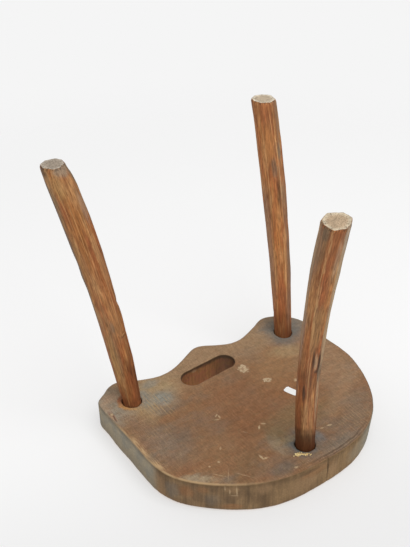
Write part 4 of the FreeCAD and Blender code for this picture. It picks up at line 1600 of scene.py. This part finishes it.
def seat_finish():
    """The whole plank: underside, sitting face, walls, rubbed rim, slot and leg holes."""
    wood = Finish("old_plank", specular=WOOD_GLOSS)
    facing = wood.stored("facing")
    fine_grain = wood.grain(wood.place, (0.011, 0.0011, 0.02), 3.0)
    lines = saw_lines(wood)
    is_wall = wood.band(wood.math("ABSOLUTE", facing), *WALL_FACING)
    colour = underside_tone(wood, fine_grain, lines)
    colour = wood.mix(wood.band(facing, *SEAT_FACING), colour, sitting_tone(wood, fine_grain))
    walls, streaks = wall_tone(wood)
    colour = wood.mix(is_wall, colour, walls)
    colour = wood.mix(rubbed_share(wood), colour, RUBBED_TAN)
    in_slot = wood.times(wood.band(wood.stored("slot_gap"), *SLOT_WALL_GAP), is_wall)
    colour = wood.mix(in_slot, colour, slot_tone(wood))
    # Painted shade: the walls of the leg holes are laid nearly black, as the recess round each leg.
    hole_shade = wood.band(wood.stored("leg_gap"), *HOLE_WALL_GAP)
    colour = wood.lay(hole_shade, 0.85, colour, LEG_SOOT_AND_SHADE)
    polish = wood.scaled(wood.band(facing, 0.4, 0.8), -0.2, 0.60)
    roughness = wood.scaled(fine_grain, 0.3, polish)
    flat_relief = wood.scaled(lines, 0.6, fine_grain)
    flat_relief = wood.times(flat_relief, wood.math("SUBTRACT", 1.0, is_wall))
    wall_relief = wood.times(streaks, is_wall)
    return wood.wear(colour, roughness, [(flat_relief, FLAT_BUMP), (wall_relief, WALL_BUMP)])


plank = bpy.data.objects.new("seat_plank", plank_skin)
take_place(plank, "seat_board", seat_finish())

# %% [markdown]
# ## The paper slip
# A blank white slip with clipped corners is stuck to the underside. Paper is never quite flat: its
# corners lift, at one end more than at the other. The slip is a fine grid, pressed into the CAD
# label's outline, curled at the corners and given its thickness by a Solidify modifier.

# %% Paper slip
PAPER_THICKNESS = 0.15 * MM
PAPER_CURLS = (1.17 * MM, 0.63 * MM)
PAPER_FLAT_TO = 0.45
PAPER_CLIP = 0.19
PAPER_STEPS = (33, 19)
PAPER_GROWTH = 1.05
PAPER_BUMP = 0.05 * MM
PAPER_WHITE = seen(244, 244, 242)
PAPER_SOILED = seen(214, 206, 190)


def thicken(piece, thickness):
    thick = piece.modifiers.new("thickness", "SOLIDIFY")
    thick.thickness = thickness
    thick.offset = 0
    return piece


def slip_axes():
    """The middle, the two level directions and the half sizes of the CAD label."""
    places = points_of(frame["nodes"]["paper_label"].data)
    centre = (places.min(axis=0) + places.max(axis=0)) / 2
    flat = places[:, :2] - centre[:2]
    _, _, ways = np.linalg.svd(flat)
    halves = np.abs(flat @ ways.T).max(axis=0) * PAPER_GROWTH
    return centre, ways, halves


def paper_slip():
    """The slip: narrower in the rows that cross its clipped corners, and lifted at them."""
    centre, ways, halves = slip_axes()
    clip = PAPER_CLIP * halves[0]
    columns, rows = PAPER_STEPS
    points = []
    for v in np.linspace(-1, 1, rows):
        narrow = max(0.0, abs(v) * halves[1] - (halves[1] - clip))
        for u in np.linspace(-1, 1, columns):
            along, across = u * (halves[0] - narrow), v * halves[1]
            curl = PAPER_CURLS[0] if u < 0 else PAPER_CURLS[1]
            lift = curl * max(0.0, (u * u + v * v) / 2 - PAPER_FLAT_TO)
            level = centre[:2] + ways[0] * along + ways[1] * across
            points.append((*level, UNDERSIDE - PAPER_THICKNESS - lift))
    faces = []
    for row in range(rows - 1):
        for column in range(columns - 1):
            corner = row * columns + column
            faces.append((corner, corner + 1, corner + columns + 1, corner + columns))
    mesh = bpy.data.meshes.new("paper_slip")
    mesh.from_pydata(points, [], faces)
    return thicken(bpy.data.objects.new("paper_slip", mesh), PAPER_THICKNESS)


def paper_finish():
    """White paper, a little soiled."""
    paper = Finish("blank_paper", roughness=0.85, specular=0.2)
    fibres = paper.grain(paper.place, (0.0006, 0.0006, 0.0006), 4.0)
    dirt = paper.band(paper.grain(paper.place, (0.005, 0.005, 0.005), 4.0), 0.5, 0.8)
    colour = paper.lay(dirt, 0.4, PAPER_WHITE, PAPER_SOILED)
    return paper.wear(colour, None, [(fibres, PAPER_BUMP)])


take_place(paper_slip(), "paper_label", paper_finish())

# %% [markdown]
# ## Things stuck to the underside
# Two crusts of old glue or plaster cling to the wood, and a line of golden crumbs of dried resin lies
# beside the front leg. They stand up from the face, so they are real pieces. A crust is a fine grid: only
# its squares close to a ring are kept, and noise moves that limit in and out, which gives the crust
# holes and a ragged edge. A crumb is a small icosphere, pressed flat and dented.

# %% Crusts
CRUSTS_MM = [(37.5, -27, 8.5, 10.5, 20), (52, 18, 7, 5, 30)]
CRUST_PITCH = 0.5 * MM
CRUST_THICKNESS = 0.5 * MM
CRUST_LUMPS = 3.4 * MM
CRUST_RING = 0.62
CRUST_RING_HALF = 0.32
CRUST_RAG = 0.8
CRUST_WELD = 0.05 * MM
HEAP_SIZE = 1.6 * MM
HEAP_HEIGHT = 0.25 * MM


def crust_squares(x, y, half_x, half_y, turn):
    """The kept squares of one crust, as four places each."""
    steps_x, steps_y = (math.ceil(2 * half * MM / CRUST_PITCH) for half in (half_x, half_y))
    way = Matrix.Rotation(math.radians(turn), 2)
    squares = []
    for column in range(steps_x):
        for row in range(steps_y):
            flat = Vector((column - steps_x / 2, row - steps_y / 2)) * CRUST_PITCH
            far = math.hypot(flat.x / (half_x * MM), flat.y / (half_y * MM))
            lumps = noise.noise(Vector((flat.x / CRUST_LUMPS, flat.y / CRUST_LUMPS, x)))
            ring = CRUST_RING_HALF - abs(far - CRUST_RING)
            if ring + CRUST_RAG * lumps > 0:
                corners = [flat + Vector(step) * CRUST_PITCH for step in ((0, 0), (1, 0), (1, 1), (0, 1))]
                squares.append([way @ corner + Vector((x, y)) * MM for corner in corners])
    return squares


def glue_crusts():
    """Both crusts as one thin piece, heaped a little by noise."""
    work = bmesh.new()
    for x, y, half_x, half_y, turn in CRUSTS_MM:
        for corners in crust_squares(x, y, half_x, half_y, turn):
            heap = [noise.noise(Vector((*corner, 0)) / HEAP_SIZE) * HEAP_HEIGHT for corner in corners]
            tops = [UNDERSIDE - CRUST_THICKNESS / 2 - rise for rise in heap]
            work.faces.new([work.verts.new((*corner, top)) for corner, top in zip(corners, tops)])
    bmesh.ops.remove_doubles(work, verts=work.verts, dist=CRUST_WELD)
    mesh = bpy.data.meshes.new("glue_crusts")
    work.to_mesh(mesh)
    work.free()
    return thicken(bpy.data.objects.new("glue_crusts", mesh), CRUST_THICKNESS)


# %% Crumbs
CRUMBS_FROM_MM = (-22, 170)
CRUMBS_TO_MM = (-3, 182)
CRUMB_COUNT = 60
CRUMB_SCATTER = 2.0 * MM
CRUMB_SCATTER_ACROSS = CRUMB_SCATTER * 0.6
CRUMB_RADII_MM = (0.4, 1.2)
CRUMB_STRETCH = (1.0, 2.0)
CRUMB_FLATNESS = 0.6
CRUMB_DENTS = 0.35
CRUMB_SUNK = 0.4


def resin_crumbs():
    """Crumbs along a line beside the front leg, placed by a seeded draw."""
    draw = np.random.default_rng(11)
    work = bmesh.new()
    for _ in range(CRUMB_COUNT):
        share = draw.uniform(0, 1)
        x, y = (np.array(CRUMBS_FROM_MM) * (1 - share) + np.array(CRUMBS_TO_MM) * share) * MM
        x, y = x + draw.normal(0, CRUMB_SCATTER), y + draw.normal(0, CRUMB_SCATTER_ACROSS)
        radius = draw.uniform(*CRUMB_RADII_MM) * MM
        made = bmesh.ops.create_icosphere(work, subdivisions=2, radius=radius)["verts"]
        long_way = draw.uniform(*CRUMB_STRETCH)
        spin = Matrix.Rotation(draw.uniform(0, math.pi), 3, "Z")
        for vertex in made:
            dent = 1 + CRUMB_DENTS * noise.noise(vertex.co / radius + Vector((x, y, 0)) / MM)
            flat = Vector((vertex.co.x * long_way, vertex.co.y, vertex.co.z * CRUMB_FLATNESS)) * dent
            vertex.co = spin @ flat + Vector((x, y, UNDERSIDE - radius * CRUMB_SUNK))
    mesh = bpy.data.meshes.new("resin_crumbs")
    work.to_mesh(mesh)
    work.free()
    smooth_shaded(mesh)
    return bpy.data.objects.new("resin_crumbs", mesh)


# %% Stick them on
LUMP_BUMP = 0.2 * MM


def crumb_finish(name, dark, light, roughness):
    """A lumpy material that goes from a dark tone to a light one."""
    lump = Finish(name, roughness=roughness)
    grains = lump.grain(lump.place, (0.0012, 0.0012, 0.0012), 3.0)
    colour = lump.ramp(grains, (0.35, dark), (0.62, light))
    return lump.wear(colour, None, [(grains, LUMP_BUMP)])


plaster = crumb_finish("old_plaster", seen(150, 122, 92), seen(214, 190, 156), 0.85)
resin = crumb_finish("dried_resin", seen(186, 138, 68), seen(255, 236, 176), 0.45)
for piece, finish in ((glue_crusts(), plaster), (resin_crumbs(), resin)):
    piece.data.materials.append(finish)
    scene.collection.objects.link(piece)
    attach(piece, "root")
    print(piece.name, "has", len(piece.data.polygons), "faces")
